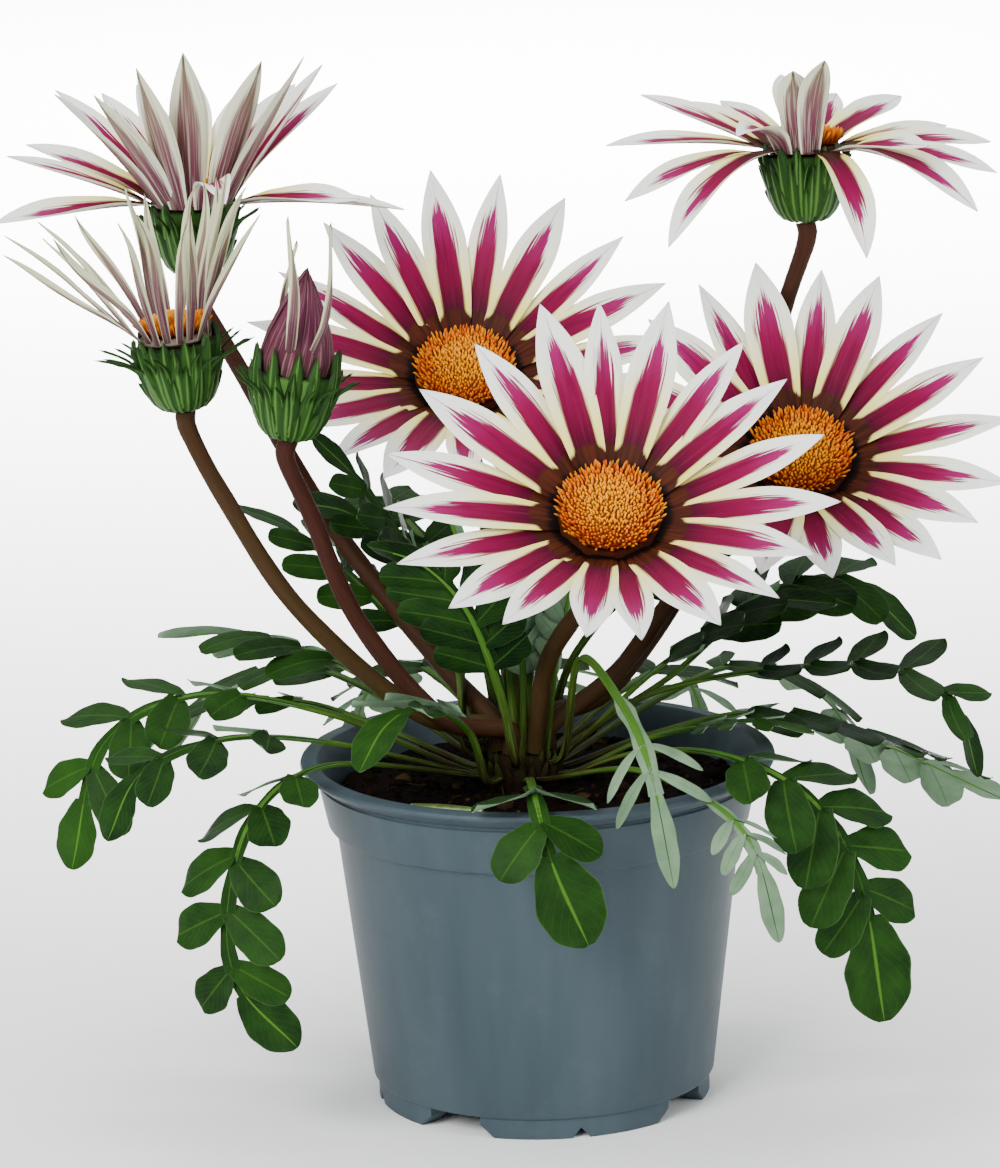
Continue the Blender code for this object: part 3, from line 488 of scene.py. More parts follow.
# %% The flower heads
# A head: where its disc is, which way it looks, how far its bracts' tips reach, and the rule
# for its petals. odd gives single petals their own lift, bend and length; roll turns the
# petals at its sides about their own length. Angles are in degrees.
Head = namedtuple("Head", "name place elevation facing tips petals turn lift sway bend reach width wild "
                          "disc odd roll", defaults=(0,) * 8 + (12.3, {}, 0.0))
HEADS = (
    Head("front", (18.6, -50, 161.8), 48.7, -90, 15.5, 19, 14, 24, 6, -8, 56, 12.0, 2),
    Head("back_left", (-16.2, 52, 176.6), 51, -90, 15.5, 19, 2, 26, 6, -8, 57.6, 11.9, 2),
    Head("right", (68.2, 15, 160.7), 48, -86, 15.5, 19, 4, 24, 6, -8, 54, 12.0, 2),
    Head("top_right", (71.5, 45, 235.0), 85, 90, 12.5, 18, -25, 14, 10, -8, 50, 11.0, 4, 9.0,
         {0: (24, -6, 1.0), 1: (10, -16, 1.0), 2: (0, -30, 1.0), 3: (-8, -52, 1.0), 4: (56, -80, 0.55),
          5: (76, -30, 0.6), 6: (72, -46, 0.85), 7: (-12, -76, 0.9), 8: (12, -14, 0.8), 9: (0, -44, 1.05),
          10: (4, -26, 1.0), 11: (4, -10, 1.0)}, roll=48),
    Head("top_left", (-84.5, 52, 223.5), 87, 90, 16, 20, 0, 42, 0, -12, 54, 11.0, 4, 9.5,
         {0: (24, -8, 0.92), 1: (2, -10, 0.95), 2: (50, -8, 1.0), 3: (48, 0, 0.95), 4: (58, 0, 1.0),
          5: (73, 0, 1.0), 6: (64, -110, 0.6), 7: (60, 0, 1.0), 8: (54, 0, 1.1), 9: (8, -12, 0.8),
          10: (4, -14, 1.0), 11: (52, 0, 1.0), 19: (26, -8, 0.9)}, roll=30),
    Head("wilting", (-87.5, -6, 200.0), 84, 180, 18, 20, 9, 66, 0, -14, 49, 3.8, 9, 8.2,
         {3: (78, -20, 1.0), 4: (84, -30, 0.95), 5: (82, -10, 1.0), 6: (76, -24, 0.9), 12: (54, -10, 1.0),
          13: (46, 8, 1.0), 14: (40, 14, 1.05), 15: (44, -6, 1.05), 16: (50, 12, 0.95), 17: (58, -12, 1.0)}),
)
DRUM_RIM = 2.2
DRUM_HEIGHT = 2.4
BACK_PETAL = 0.86
ROOT = 1.8
PETAL_STEPS = 26
PETAL_COLUMNS = 10
PETAL_BLADE = 0.42
LARGE_DISC = 12.3
BROWN_REACH = 18.0


def head_frame(flower):
    """The head's turn: local Z is the way the flower looks."""
    elevation = radians(flower.elevation)
    facing = radians(flower.facing)
    normal = Vector((cos(elevation) * cos(facing), cos(elevation) * sin(facing),
                     sin(elevation)))
    across = UP.cross(normal).normalized()
    return Matrix((across, normal.cross(across), normal)).transposed()


def petal_route(flower, number, rng, steps=PETAL_STEPS):
    """Points of one petal's midline and its angle, in the head's frame."""
    step = tau / flower.petals
    wobble = rng.uniform(-0.10, 0.10) * step
    angle = radians(flower.turn) + number * step + wobble
    sway = flower.sway * cos(2 * angle) * -1.0
    lift = flower.lift + sway + rng.uniform(-1, 1) * flower.wild
    bend = flower.bend
    drum = flower.disc + DRUM_RIM
    length = (flower.reach - drum) * rng.uniform(0.95, 1.04)
    if number in flower.odd:
        lift, bend, share = flower.odd[number]
        length *= share
    layer = -0.95 if number % 2 else -1.8
    outward = polar(1.0, angle, 0.0)
    point = outward * (drum - ROOT) + Vector((0, 0, layer))
    route = [point]
    length += ROOT
    for index in range(steps):
        rise = radians(lift + bend * (index + 0.5) / steps)
        point = point + (outward * cos(rise) + UP * sin(rise)) * (length / steps)
        route.append(point)
    return route, angle


print("petals on the six heads:", sum(flower.petals for flower in HEADS))

# %% The striped petal skin, upper side
# White petal skin with a feathered magenta stripe, painted glints along its fine lines, and a brown foot.
petal_top, shader, add = start_material("gazania petal skin, upper side, satin", Roughness=0.55,
                                        Specular_IOR_Level=0.08)
along, across, edge, tint, reach = read_skin(add, "along across edge tint reach")
# Streaks 0.3 mm apart across a petal of 11 mm, and long along it.
streak, streak_place = streaks(add, across, along, tint, 2.0, 34.0, 2.4, 61.0)
broad_place = add("VectorMath:MULTIPLY", streak_place, (0.22, 1.3, 1.0))
broad = add("TexNoise", broad_place, 1.0, 1.0).outputs["Fac"]

half = add("ValToRGB", along, stops={
    0.0: 0.84, 0.16: 0.70, 0.34: 0.62, 0.55: 0.56, 0.70: 0.44, 0.84: 0.0})
feather = add("ValToRGB", along, stops={0.0: 0.06, 0.45: 0.16, 0.62: 0.8, 0.85: 1.0})
ruffle = add("Math:MULTIPLY", add("Math:SUBTRACT", streak, 0.52), feather)
sway = add("Math:MULTIPLY_ADD", broad, 0.16, -0.08)
border = add("Math:ADD", add("Math:ADD", half, sway), add("Math:MULTIPLY", ruffle, 1.5))
stripe = add("MapRange", add("Math:SUBTRACT", border, edge), -0.05, 0.12, **SMOOTH)

white = add("ValToRGB", along, stops={
    0.0: "#dcc656", 0.22: "#e4d86e", 0.42: "#e8e2a8", 0.62: "#e6e6d6", 0.97: "#e6e9e9", 1.0: "#a39c80"})
magenta = add("ValToRGB", along, stops={
    0.06: "#18020a", 0.16: "#380016", 0.32: "#5e0028", 0.52: "#720036", 0.78: "#8a1a5a"})
# Lighter pink streaks along the fine lines: partly the stripe's own lines, partly painted glints.
lined = add("Mix", add("MapRange", streak, 0.55, 0.78, 0.0, 0.35), magenta, "#7c1e4c")
deep = add("Mix", add("MapRange", broad, 0.25, 0.5, 0.35, 0.0), lined, "#380018")
veined = add("Mix", add("MapRange", streak, 0.5, 0.8, 0.0, 0.55), white, "#d9d9cf")
petal = add("Mix", stripe, veined, deep)

# The brown ring ends about 20 mm out, a little further in the middle of each petal.
scallop = add("Math:MULTIPLY_ADD", add("Math:POWER", edge, 2.0), 2.6, reach)
ring = add("MapRange", add("Math:MULTIPLY_ADD", streak, 1.6, scallop), 21.6, 20.2, **SMOOTH)
brown = add("Mix", add("MapRange", broad, 0.3, 0.7), "#2a0e06", "#431b0b")
spot = add("MapRange", add("Math:MULTIPLY_ADD", broad, 3.0, reach), 17.6, 15.8, **SMOOTH)
skin = add("Mix", ring, petal, add("Mix", spot, brown, "#0c0504"))
# Fine lengthwise furrows, a tenth of a millimetre deep.
connect(shader, Base_Color=skin, Normal=add("Bump", 0.5, 0.0002, Height=streak))
print("made:", petal_top.name)

# %% The petal skin, under side
def petal_underside(name, cream, colours, halves, veins):
    """Cream petal skin with a purple-brown keel and fine lengthwise lines."""
    material, shader, add = start_material(name, Roughness=0.6, Specular_IOR_Level=0.08)
    along, across, edge, tint = read_skin(add, "along across edge tint")
    streak, _ = streaks(add, across, along, tint, 2.0, 26.0, 2.0, 47.0)
    half = add("ValToRGB", along, stops=halves)
    rough = add("Math:MULTIPLY_ADD", streak, 0.7, -0.35)
    inside = add("Math:SUBTRACT", rough, add("Math:SUBTRACT", edge, half))
    keel = add("MapRange", inside, -0.08, 0.16, **SMOOTH)
    ground = add("Mix", add("MapRange", streak, 0.5, 0.72, 0.0, 0.75), cream, veins)
    purple = add("ValToRGB", along, stops=colours)
    lined = add("Mix", add("MapRange", streak, 0.5, 0.75, 0.0, 0.5), purple, cream)
    connect(shader, Base_Color=add("Mix", keel, ground, lined),
            Normal=add("Bump", 0.5, 0.0002, Height=streak))
    return material


petal_under = petal_underside(
    "gazania petal skin, under side, satin", "#d6d7bc",
    {0.0: "#48182a", 0.3: "#663846", 0.6: "#745452", 0.88: "#6a5a44", 1.0: "#2a2216"},
    {0.0: 0.9, 0.25: 0.74, 0.6: 0.58, 0.9: 0.30, 1.0: 0.6}, "#a09c88")
petal_wilted = petal_underside(
    "wilted gazania petal skin, dry satin", "#c2c4a0",
    {0.0: "#380f20", 0.25: "#542c3c", 0.5: "#6a4c4c", 0.8: "#6c6648", 1.0: "#221c10"},
    {0.0: 1.0, 0.25: 0.85, 0.5: 0.6, 0.8: 0.24, 0.93: 0.4, 1.0: 1.0}, "#7c7c58")
print("made:", petal_under.name, "|", petal_wilted.name)


# %% [markdown]
# ## Giving the petals their form
# Each petal is a shallow channel with a fine fold on both sides of its middle. It twists a
# little towards its tip, and no two are the same, but the dice are seeded, so that the
# plant is the same each time. The wilted head's petals have dried into narrow rolls.

# %% Lay the petals
def lay_petal(skin, flower, route, angle, half, detail, turn, rolled):
    """One petal on its midline."""
    steps = len(route) - 1
    twist = radians(detail.uniform(-22, 22) if not rolled else detail.uniform(-70, 70))
    twist -= radians(flower.roll) * cos(angle)
    drift = detail.uniform(-1.6, 1.6) if not rolled else detail.uniform(-7.0, 7.0)
    channel = detail.uniform(0.06, 0.20) if not rolled else 0.75
    if flower.roll:
        channel += 0.3
        half *= 0.88
    if rolled:
        half *= 0.85
    bow, phase = (detail.uniform(1.0, 3.2), detail.uniform(0, 6)) if rolled else (0.0, 0.0)
    tint = detail.random()
    across = Vector((-sin(angle), cos(angle), 0))
    # The reach is measured along the petal, so that the brown ring is as wide on a raised one.
    pace = (route[1] - route[0]).length
    first_reach = hypot(route[0].x, route[0].y) + LARGE_DISC - flower.disc
    rows = []
    for index in range(steps + 1):
        share = 1.0 - (1.0 - index / steps) ** 1.25
        spot = share * steps
        low = min(int(spot), steps - 1)
        along = (route[low + 1] - route[low]).normalized()
        place = route[low].lerp(route[low + 1], spot - low) + across * (drift * share * share)
        normal = along.cross(across).normalized()
        sway = bow * sin(pi * share) * share
        place += (across * sin(phase + 3.0 * share) + normal * cos(phase + 2.0 * share)) * sway
        roll = Matrix.Rotation(twist * share ** 1.5, 3, along)
        normal = roll @ normal
        wide = half * outline(share, 0.58, 0.56, 1.75)
        reach = first_reach + spot * pace
        rows.append((Vector(flower.place) + turn @ place, turn @ along.cross(normal), turn @ normal, wide,
                     PETAL_BLADE, share, reach))

    def lift(share, cross):
        edge_fold = channel * half * cross * cross * min(share * 4.0, 1.0) * outline(share, 0.58, 0.56, 1.75)
        pleats = 0.16 * cos(cross * 3.0 * pi) * sin(pi * share)
        return edge_fold + (pleats if not rolled else 0.0)

    blade(skin, rows, PETAL_COLUMNS, lift, tint)


for flower in HEADS:
    rng = random.Random(flower.name)
    detail = random.Random(flower.name + " detail")
    turn = head_frame(flower)
    skin = Skin()
    rolled = flower.name == "wilting"
    drum = flower.disc + DRUM_RIM
    drum_profile = ((0.0, -DRUM_HEIGHT), (drum - 2.6, -DRUM_HEIGHT), (drum - 1.4, -1.6), (drum - 2.0, -0.3),
                    (0.0, 0.0))
    lathe(skin, drum_profile, 36, Vector(flower.place), turn)
    # The drum under the disc takes the brown of the petals' feet.
    skin.places = [(0.0, 0.5)] * len(skin.points)
    skin.reaches = [BROWN_REACH] * len(skin.points)
    for number in range(flower.petals):
        route, angle = petal_route(flower, number, rng)
        wide = flower.width * (1.0 if number % 2 else BACK_PETAL) * detail.uniform(0.92, 1.06)
        lay_petal(skin, flower, route, angle, wide / 2.0, detail, turn, rolled)
    skins = (petal_wilted, petal_wilted) if rolled else (petal_top, petal_under)
    slot = "wilting_petals" if rolled else "striped_petals"
    skin.build("ray_florets_" + flower.name, skins, "petals_" + flower.name, slot)
    print("petals %s: %d faces" % (flower.name, len(skin.faces)))

# %% [markdown]
# ## The disc florets
# The orange middle is a cushion of hundreds of tiny tube flowers. The outer ones are open:
# they are longer, stand out like bristles and are deep orange. The inner ones are younger,
# shorter and golden. Their order is the sunflower's spiral: each one turned by the golden
# angle from the last, at a distance that grows with the square root of its number.

# %% The floret skin
# Orange at the rim, golden inside and pale at the tip; darker at the foot, which is painted shade down
# between the packed florets.
floret, shader, add = start_material("gazania disc floret, waxy", Roughness=0.6, Specular_IOR_Level=0.1)
along, tint, reach = read_skin(add, "along tint reach")
ripe = add("ValToRGB", reach, stops={0.0: "#f6b400", 0.55: "#ee9c00", 0.80: "#da6000", 1.0: "#c24600"})
# The dark foot, multiplied in, is painted shade between the florets.
foot = add("ValToRGB", along, stops={0.0: "#5a1c00", 0.45: "#b05a08", 0.8: "#ffffff"})
shaded = add("Mix", 0.85, ripe, foot, blend_type="MULTIPLY")
tip = add("Math:MULTIPLY", add("Math:MULTIPLY", along, tint), 0.55)
connect(shader, Base_Color=add("Mix", tip, shaded, "#ffc000"))
print("made:", floret.name)

# %% Plant the florets
DISC_HEIGHT = 5.5
GOLDEN_ANGLE = pi * (3.0 - sqrt(5.0))
FLORETS_PER_MM = 58.0
FLORET_RADIUS = 0.28


def dome_height(share):
    """The cushion's height at a share of its radius."""
    return 1.0 + (DISC_HEIGHT * 0.72 - 1.0) * (1.0 - share ** 3.0)


def plant_floret(skin, flower, turn, share, angle, detail):
    """One tube flower with a pointed tip, bent outward."""
    disc = flower.disc
    outer = max(share - 0.72, 0.0) / 0.28
    radius = share * (disc - 0.7)
    foot = polar(radius, angle, dome_height(share) - 0.9)
    lean = polar(1.0, angle, 0.0) * (0.10 + 0.5 * share ** 3)
    lean += Vector((detail.uniform(-1, 1), detail.uniform(-1, 1), 0)) * 0.16
    way = (UP + lean).normalized()
    length = 2.2 + 1.7 * outer + detail.uniform(-0.35, 0.5)
    side = way.orthogonal().normalized()
    normal = side.cross(way)
    curl = (side * detail.uniform(-1, 1) + normal * detail.uniform(-1, 1)) * (0.30 + 0.25 * outer)
    thick = FLORET_RADIUS * detail.uniform(0.85, 1.15)
    rings = []
    for step, wide in ((0.0, 0.75), (0.35, 0.85), (0.7, 1.0), (0.88, 0.8), (1.0, 0.15)):
        place = foot + way * (length * step) + curl * (step * step)
        rings.append((Vector(flower.place) + turn @ place, turn @ way.cross(normal), turn @ normal,
                      thick * wide, thick * wide, step, share))
    tube(skin, rings, 5, detail.random())


for flower in HEADS:
    turn = head_frame(flower)
    detail = random.Random(flower.name + " florets")
    skin = Skin()
    disc = flower.disc
    profile = [(0.0, CLEARANCE), (disc - 1.2, CLEARANCE), (disc - 0.6, 0.9)]
    profile += [((disc - 0.9) * share, dome_height(share) - 0.5) for share in (0.95, 0.8, 0.6, 0.4, 0.2, 0.0)]
    lathe(skin, profile, 30, Vector(flower.place), turn, 0.2)
    # The cushion under the florets takes the dark foot's colour, painted shade in the gaps between them: its
    # share along is low.
    skin.places = [(0.1, across) for _, across in skin.places]
    skin.reaches = [min(reach / disc, 1.0) for reach in skin.reaches]
    count = int(FLORETS_PER_MM * disc)
    for number in range(count):
        plant_floret(skin, flower, turn, sqrt((number + 0.5) / count), number * GOLDEN_ANGLE, detail)
    skin.build("disc_florets_" + flower.name, (floret,), "disc_" + flower.name, "disc_florets", 40)
    print("florets %s: %d" % (flower.name, count))

# %% [markdown]
# ## The green cups
# Under each head sits a cup of bracts that have grown together below and end in separate
# points above. It is drawn as a ribbed body with three rows of broad bracts that lie against
# it, a fourth row that clasps the petals' feet, and a ring of thin needles that spread.

# %% The bract skin
# Dark green with a paler keel and darker margins.
bract, shader, add = start_material("gazania bract, leathery green", Roughness=0.5, Specular_IOR_Level=0.1)
along, edge, tint, spot = read_skin(add, "along edge tint spot")
mottle = add("TexNoise", spot, 420.0, 3.0).outputs["Fac"]
blend = add("Math:MULTIPLY_ADD", tint, 0.5, add("Math:MULTIPLY", mottle, 0.5))
ground = add("Mix", blend, "#11270a", "#264814")
keel = add("Mix", add("MapRange", edge, 0.26, 0.06, 0.0, 0.65, **SMOOTH), ground, "#4c7430")
margin = add("Mix", add("MapRange", edge, 0.7, 1.0, 0.0, 0.8, **SMOOTH), keel, "#0e1c0c")
tip = add("Mix", add("MapRange", along, 0.82, 1.0, 0.0, 0.7), margin, "#181a10")
connect(shader, Base_Color=tip, Normal=add("Bump", 0.4, 0.0003, Height=mottle))
print("made:", bract.name)

# %% Build the cups
CUP_RADIUS = 11.0
CUP_HEIGHT = 17.0
CUP_BOTTOM = -DRUM_HEIGHT - CLEARANCE - CUP_HEIGHT
CUP_BOTTOM_RADIUS = 3.0
CUP_ROWS = (0.0, 0.03, 0.06, 0.13, 0.2, 0.3, 0.42, 0.58, 0.75, 0.9, 0.98)
CUP_SIDES = 64
BRACT_STEPS = 12
CUP_CURVE = ((0.0, CUP_BOTTOM_RADIUS), (0.06, 5.4), (0.16, 7.2), (0.34, 8.6), (0.65, 9.8), (1.0, 10.6))


def cup_radius(share):
    """The cup's radius at a share of its height."""
    for (low, before), (high, after) in zip(CUP_CURVE, CUP_CURVE[1:]):
        if share <= high:
            t = (share - low) / (high - low)
            return before + (after - before) * (3 * t * t - 2 * t ** 3 if low < 0.06 else t)
    return CUP_CURVE[-1][1]


def rows_on(places, flower, turn, normal_at, wide_at, thick):
    """A blade's rows on a line of places in the flower's frame."""
    steps = len(places) - 1
    rows = []
    for step, place in enumerate(places):
        along = (places[min(step + 1, steps)] - places[max(step - 1, 0)]).normalized()
        normal = normal_at(step, along)
        rows.append((Vector(flower.place) + turn @ place, turn @ along.cross(normal), turn @ normal,
                     wide_at(step / steps), thick, step / steps, 0.0))
    return rows


def lay_bract(skin, flower, turn, angle, start, end, spread, half, tint, curl=0.0):
    """One bract from a share of the cup's height to another; spread pushes its tip outward."""
    outward, across = ways(angle)
    places = []
    for share in shares(BRACT_STEPS):
        height = start + (end - start) * share
        out = cup_radius(min(height, 1.0)) + 0.25 + spread * share ** 2.4
        aside = across * (curl * share * share)
        places.append(outward * out + aside + Vector((0, 0, CUP_BOTTOM + CUP_HEIGHT * height)))
    rows = rows_on(places, flower, turn, lambda step, along: across.cross(along).normalized(),
                   lambda share: half * outline(share, 0.75, 0.35, 1.5), 0.7)
    blade(skin, rows, 6, lambda share, cross: 0.35 * half * (1 - cross * cross) - 0.3 * half, tint, (0, 0))


def build_cup(flower, bract):
    """The cup's body, its four rows of bracts and its needles."""
    turn = head_frame(flower)
    detail = random.Random(flower.name + " cup")
    skin = Skin()
    top = CUP_BOTTOM + CUP_HEIGHT
    profile = [(0.0, CUP_BOTTOM)] + [(cup_radius(row), CUP_BOTTOM + CUP_HEIGHT * row) for row in CUP_ROWS]
    profile += [(CUP_RADIUS * 0.9, top), (0.0, top)]
    lathe(skin, profile, CUP_SIDES, Vector(flower.place), turn, 0.3, 0,
          lambda row, angle: (0.15 * cos(16 * angle) if 0 < row < len(CUP_ROWS) + 1 else 0.0, 0.0))
    needle_spread = 1.25 * (flower.tips - CUP_RADIUS)
    clasp_end = 1.42 if flower is BUD else 1.2
    # Each row: how many, the shares of the cup's height they start and end at, how far
    # their tips stand out, and their half width.
    for row, (count, start, end, spread, half) in enumerate((
            (14, 0.12, 1.10, 0.8, 2.4), (13, 0.05, 0.84, 1.3, 2.2), (11, 0.02, 0.54, 1.1, 1.9),
            (22, 0.52, 0.98, needle_spread, 0.6), (11, 0.60, clasp_end, -0.6, 2.3))):
        for number in range(count):
            angle = tau * (number + 0.37 * row + detail.uniform(-0.15, 0.15)) / count
            lay_bract(skin, flower, turn, angle, start, end + detail.uniform(-0.06, 0.05),
                      spread * detail.uniform(0.6, 1.2), half * detail.uniform(0.85, 1.1), detail.random(),
                      detail.uniform(-1.0, 1.0) * (1.8 if row == 3 else 0.5))
    skin.build("bracts_" + flower.name, (bract,), "cup_" + flower.name, "flower_bracts")
    return len(skin.faces)


BUD = Head("bud", (-57.1, -15, 193.8), 82, 0, 15.5)
print("cup faces:", [build_cup(flower, bract) for flower in (*HEADS, BUD)])

# %% [markdown]
# ## The bud
# The bud's petals are still wound round each other to a point, with their undersides out,
# so it shows the purple keels with paler lines between them. Overlapping blades are laid
# round a spindle, each wound on by 20 degrees, and three narrow ones stand loose.

# %% The bud's skin
# Purple-pink petal undersides with paler and darker lines along them.
bud_petal, shader, add = start_material("gazania bud petal, satin", Roughness=0.5, Specular_IOR_Level=0.1)
along, across, edge, tint = read_skin(add, "along across edge tint")
streak, _ = streaks(add, across, along, tint, 2.5, 16.0, 1.6, 31.0)
keel = add("ValToRGB", along, stops={0.0: "#30201a", 0.25: "#451c2a", 0.7: "#501f34", 1.0: "#2c0e18"})
pale = add("Mix", add("MapRange", streak, 0.48, 0.75), keel, "#865a60")
rim = add("Mix", add("MapRange", edge, 0.72, 0.98, 0.0, 0.75, **SMOOTH), pale, "#240e17")
connect(shader, Base_Color=rim, Normal=add("Bump", 0.6, 0.0003, Height=streak))
print("made:", bud_petal.name)

# %% Wind the bud
BUD_RADIUS = 10.3
BUD_HEIGHT = 22.5
BUD_WIND = 0.35
BUD_CURVE = ((0.0, 0.86), (0.14, 0.92), (0.36, 0.80), (0.60, 0.57), (0.82, 0.30), (1.0, 0.02))


def bud_radius(share):
    """The spindle's radius at a share of its height."""
    for (low, before), (high, after) in zip(BUD_CURVE, BUD_CURVE[1:]):
        if share <= high:
            return BUD_RADIUS * (before + (after - before) * (share - low) / (high - low))
    return 0.0


turn = head_frame(BUD)
detail = random.Random("bud petals")
skin = Skin()
whole = BUD_HEIGHT + DRUM_HEIGHT
spindle = [(0.0, -DRUM_HEIGHT)]
spindle += [(bud_radius(share) * 0.9, -DRUM_HEIGHT + whole * share)
            for share in (0.0, 0.14, 0.3, 0.46, 0.62, 0.78, 0.92)]
lathe(skin, spindle + [(0.0, BUD_HEIGHT - 1.0)], 36, Vector(BUD.place), turn, 0.4)
BUD_PETALS = 9
for number in range(BUD_PETALS):
    start = tau * number / BUD_PETALS + detail.uniform(-0.08, 0.08)
    places, outs = [], []
    for share in shares(22):
        angle = start + BUD_WIND * share
        height = -DRUM_HEIGHT + (whole + 0.6 * (number % 3)) * share
        places.append(polar(bud_radius(share) - 0.25, angle, height))
        outs.append(polar(1.0, angle, 0.0))
    rows = rows_on(places, BUD, turn,
                   lambda step, along: (outs[step] - along * outs[step].dot(along)).normalized(),
                   lambda share: 3.9 * outline(share, 0.92, 0.15, 1.15), 0.5)
    blade(skin, rows, 8, lambda share, cross: -0.9 * cross * cross + 0.35 * cross, detail.random(), (0, 0))
for angle, lean, length in ((165, 12, 38), (205, 4, 36), (20, 6, 26)):
    angle, lean = radians(angle), radians(lean)
    outward, across = ways(angle)
    places = []
    for share in shares(20):
        out = outward * (BUD_RADIUS * 0.8 + sin(lean) * share * length + 2.6 * min(share * 4, 1.0))
        curl = across * (1.6 * sin(4.0 * share))
        places.append(out + curl + UP * (2.0 + cos(lean) * share * length))
    rows = rows_on(places, BUD, turn, lambda step, along: Matrix.Rotation(
        1.4 * step / 20, 3, along) @ along.cross(across).normalized(),
        lambda share: 1.5 * outline(share, 0.8, 0.4, 1.5), 0.4)
    blade(skin, rows, 6, lambda share, cross: 0.7 * cross * cross, detail.random(), (1, 1))
skin.build("wound_bud_petals", (bud_petal, petal_wilted), "petals_bud", "bud_petals")
print("bud faces:", len(skin.faces))

# %% [markdown]
# ## The flower stems
# The stems are round, a little thicker at the foot, and reddish brown, more olive where
# the light has not reached. Fine ribs run along them.

# %% The stem skin
# Reddish-brown to olive, streaked along the stem.
stem, shader, add = start_material("gazania flower stem, downy", Roughness=0.62, Specular_IOR_Level=0.1)
along, across, tint = read_skin(add, "along across tint")
streak, _ = streaks(add, across, along, tint, 3.0, 9.0, 14.0, 23.0)
olive = add("Mix", streak, "#332a12", "#453a1a")
red = add("Mix", streak, "#26100b", "#3e1e14")
ripe = add("Math:MULTIPLY_ADD", add("Math:SUBTRACT", along, 0.5), 0.45, tint)
connect(shader, Base_Color=add("Mix", ripe, olive, red), Normal=add("Bump", 0.5, 0.0002, Height=streak))
print("made:", stem.name)

# %% Raise the stems
CROWN_PLACE = Vector((-4.0, 2.0, 0.0))
CROWN_RADIUS = 10.0
CROWN_TOP = 90.0
CROWN_STEM_RING = 6.4
STEM_RADIUS = 2.2
STEM_STEPS = 71
# Each stem: its head, its angle on the crown, the points that it passes, and how red it is.
STEMS = (
    ("front", 300, ((4, -14, 118),), 0.5),
    ("back_left", 100, ((-8, 18, 120), (-12, 37, 145)), 0.5),
    ("right", 350, ((21, 6, 108), (42, 15, 132)), 0.75),
    ("top_right", 45, ((22, 16, 104), (54, 35, 150), (65, 44, 190)), 0.7),
    ("top_left", 150, ((-24, 18, 108), (-52, 36, 142), (-74, 47, 180)), 0.85),
    ("wilting", 205, ((-30, -4, 101), (-59, -6, 129), (-77, -4, 158)), 0.45),
    ("bud", 246, ((-24, -10, 101), (-44, -12, 127), (-55, -14, 155)), 0.95),
)
heads = {flower.name: flower for flower in (*HEADS, BUD)}
for name, start, route, red in STEMS:
    flower = heads[name]
    turn = head_frame(flower)
    foot = Vector(flower.place) + turn @ Vector((0, 0, -DRUM_HEIGHT - CUP_HEIGHT - 2 * CLEARANCE - 0.1))
    angle = radians(start)
    first = CROWN_PLACE + polar(CROWN_STEM_RING, angle, CROWN_TOP + CLEARANCE)
    second = first + Vector((cos(angle) * 1.8, sin(angle) * 1.6, 6.0))
    before = foot + turn @ Vector((0, 0, -5.0))
    rib = Rib([first, second] + [Vector(point) for point in route] + [before, foot], Vector((0, 1, 0)))
    rings = []
    for share in shares(STEM_STEPS):
        place, tangent, side, normal = rib.frame(rib.length * share)
        swell = 1.0 + 0.10 * (1.0 - share) + 0.18 * max(share - 0.94, 0.0) / 0.06
        swell *= 1.0 + 0.02 * sin(37.0 * share + red * 50.0)
        rings.append((place, side, normal, STEM_RADIUS * swell, STEM_RADIUS * swell, share, 0.0))
    skin = Skin()
    tube(skin, rings, 18, red)
    skin.build("peduncle_" + name, (stem,), "stem_" + name, "flower_stem")
    print("stem %s: %.0f mm long" % (name, rib.length))

# %% [markdown]
# ## The leaves
# A gazania's leaf is a long stalk that carries pairs of side lobes and one larger end lobe,
# all in one piece. It is dark and slightly glossy above, with a yellow-green rib, and
# covered in pale felt below. The frame gives each leaf's rib and lobes; here each lobe
# becomes a rounded blade with its own fold, droop and wavy edge.

# %% The table of leaves
LOW_RING = 83.8
HIGH_RING = 87.6


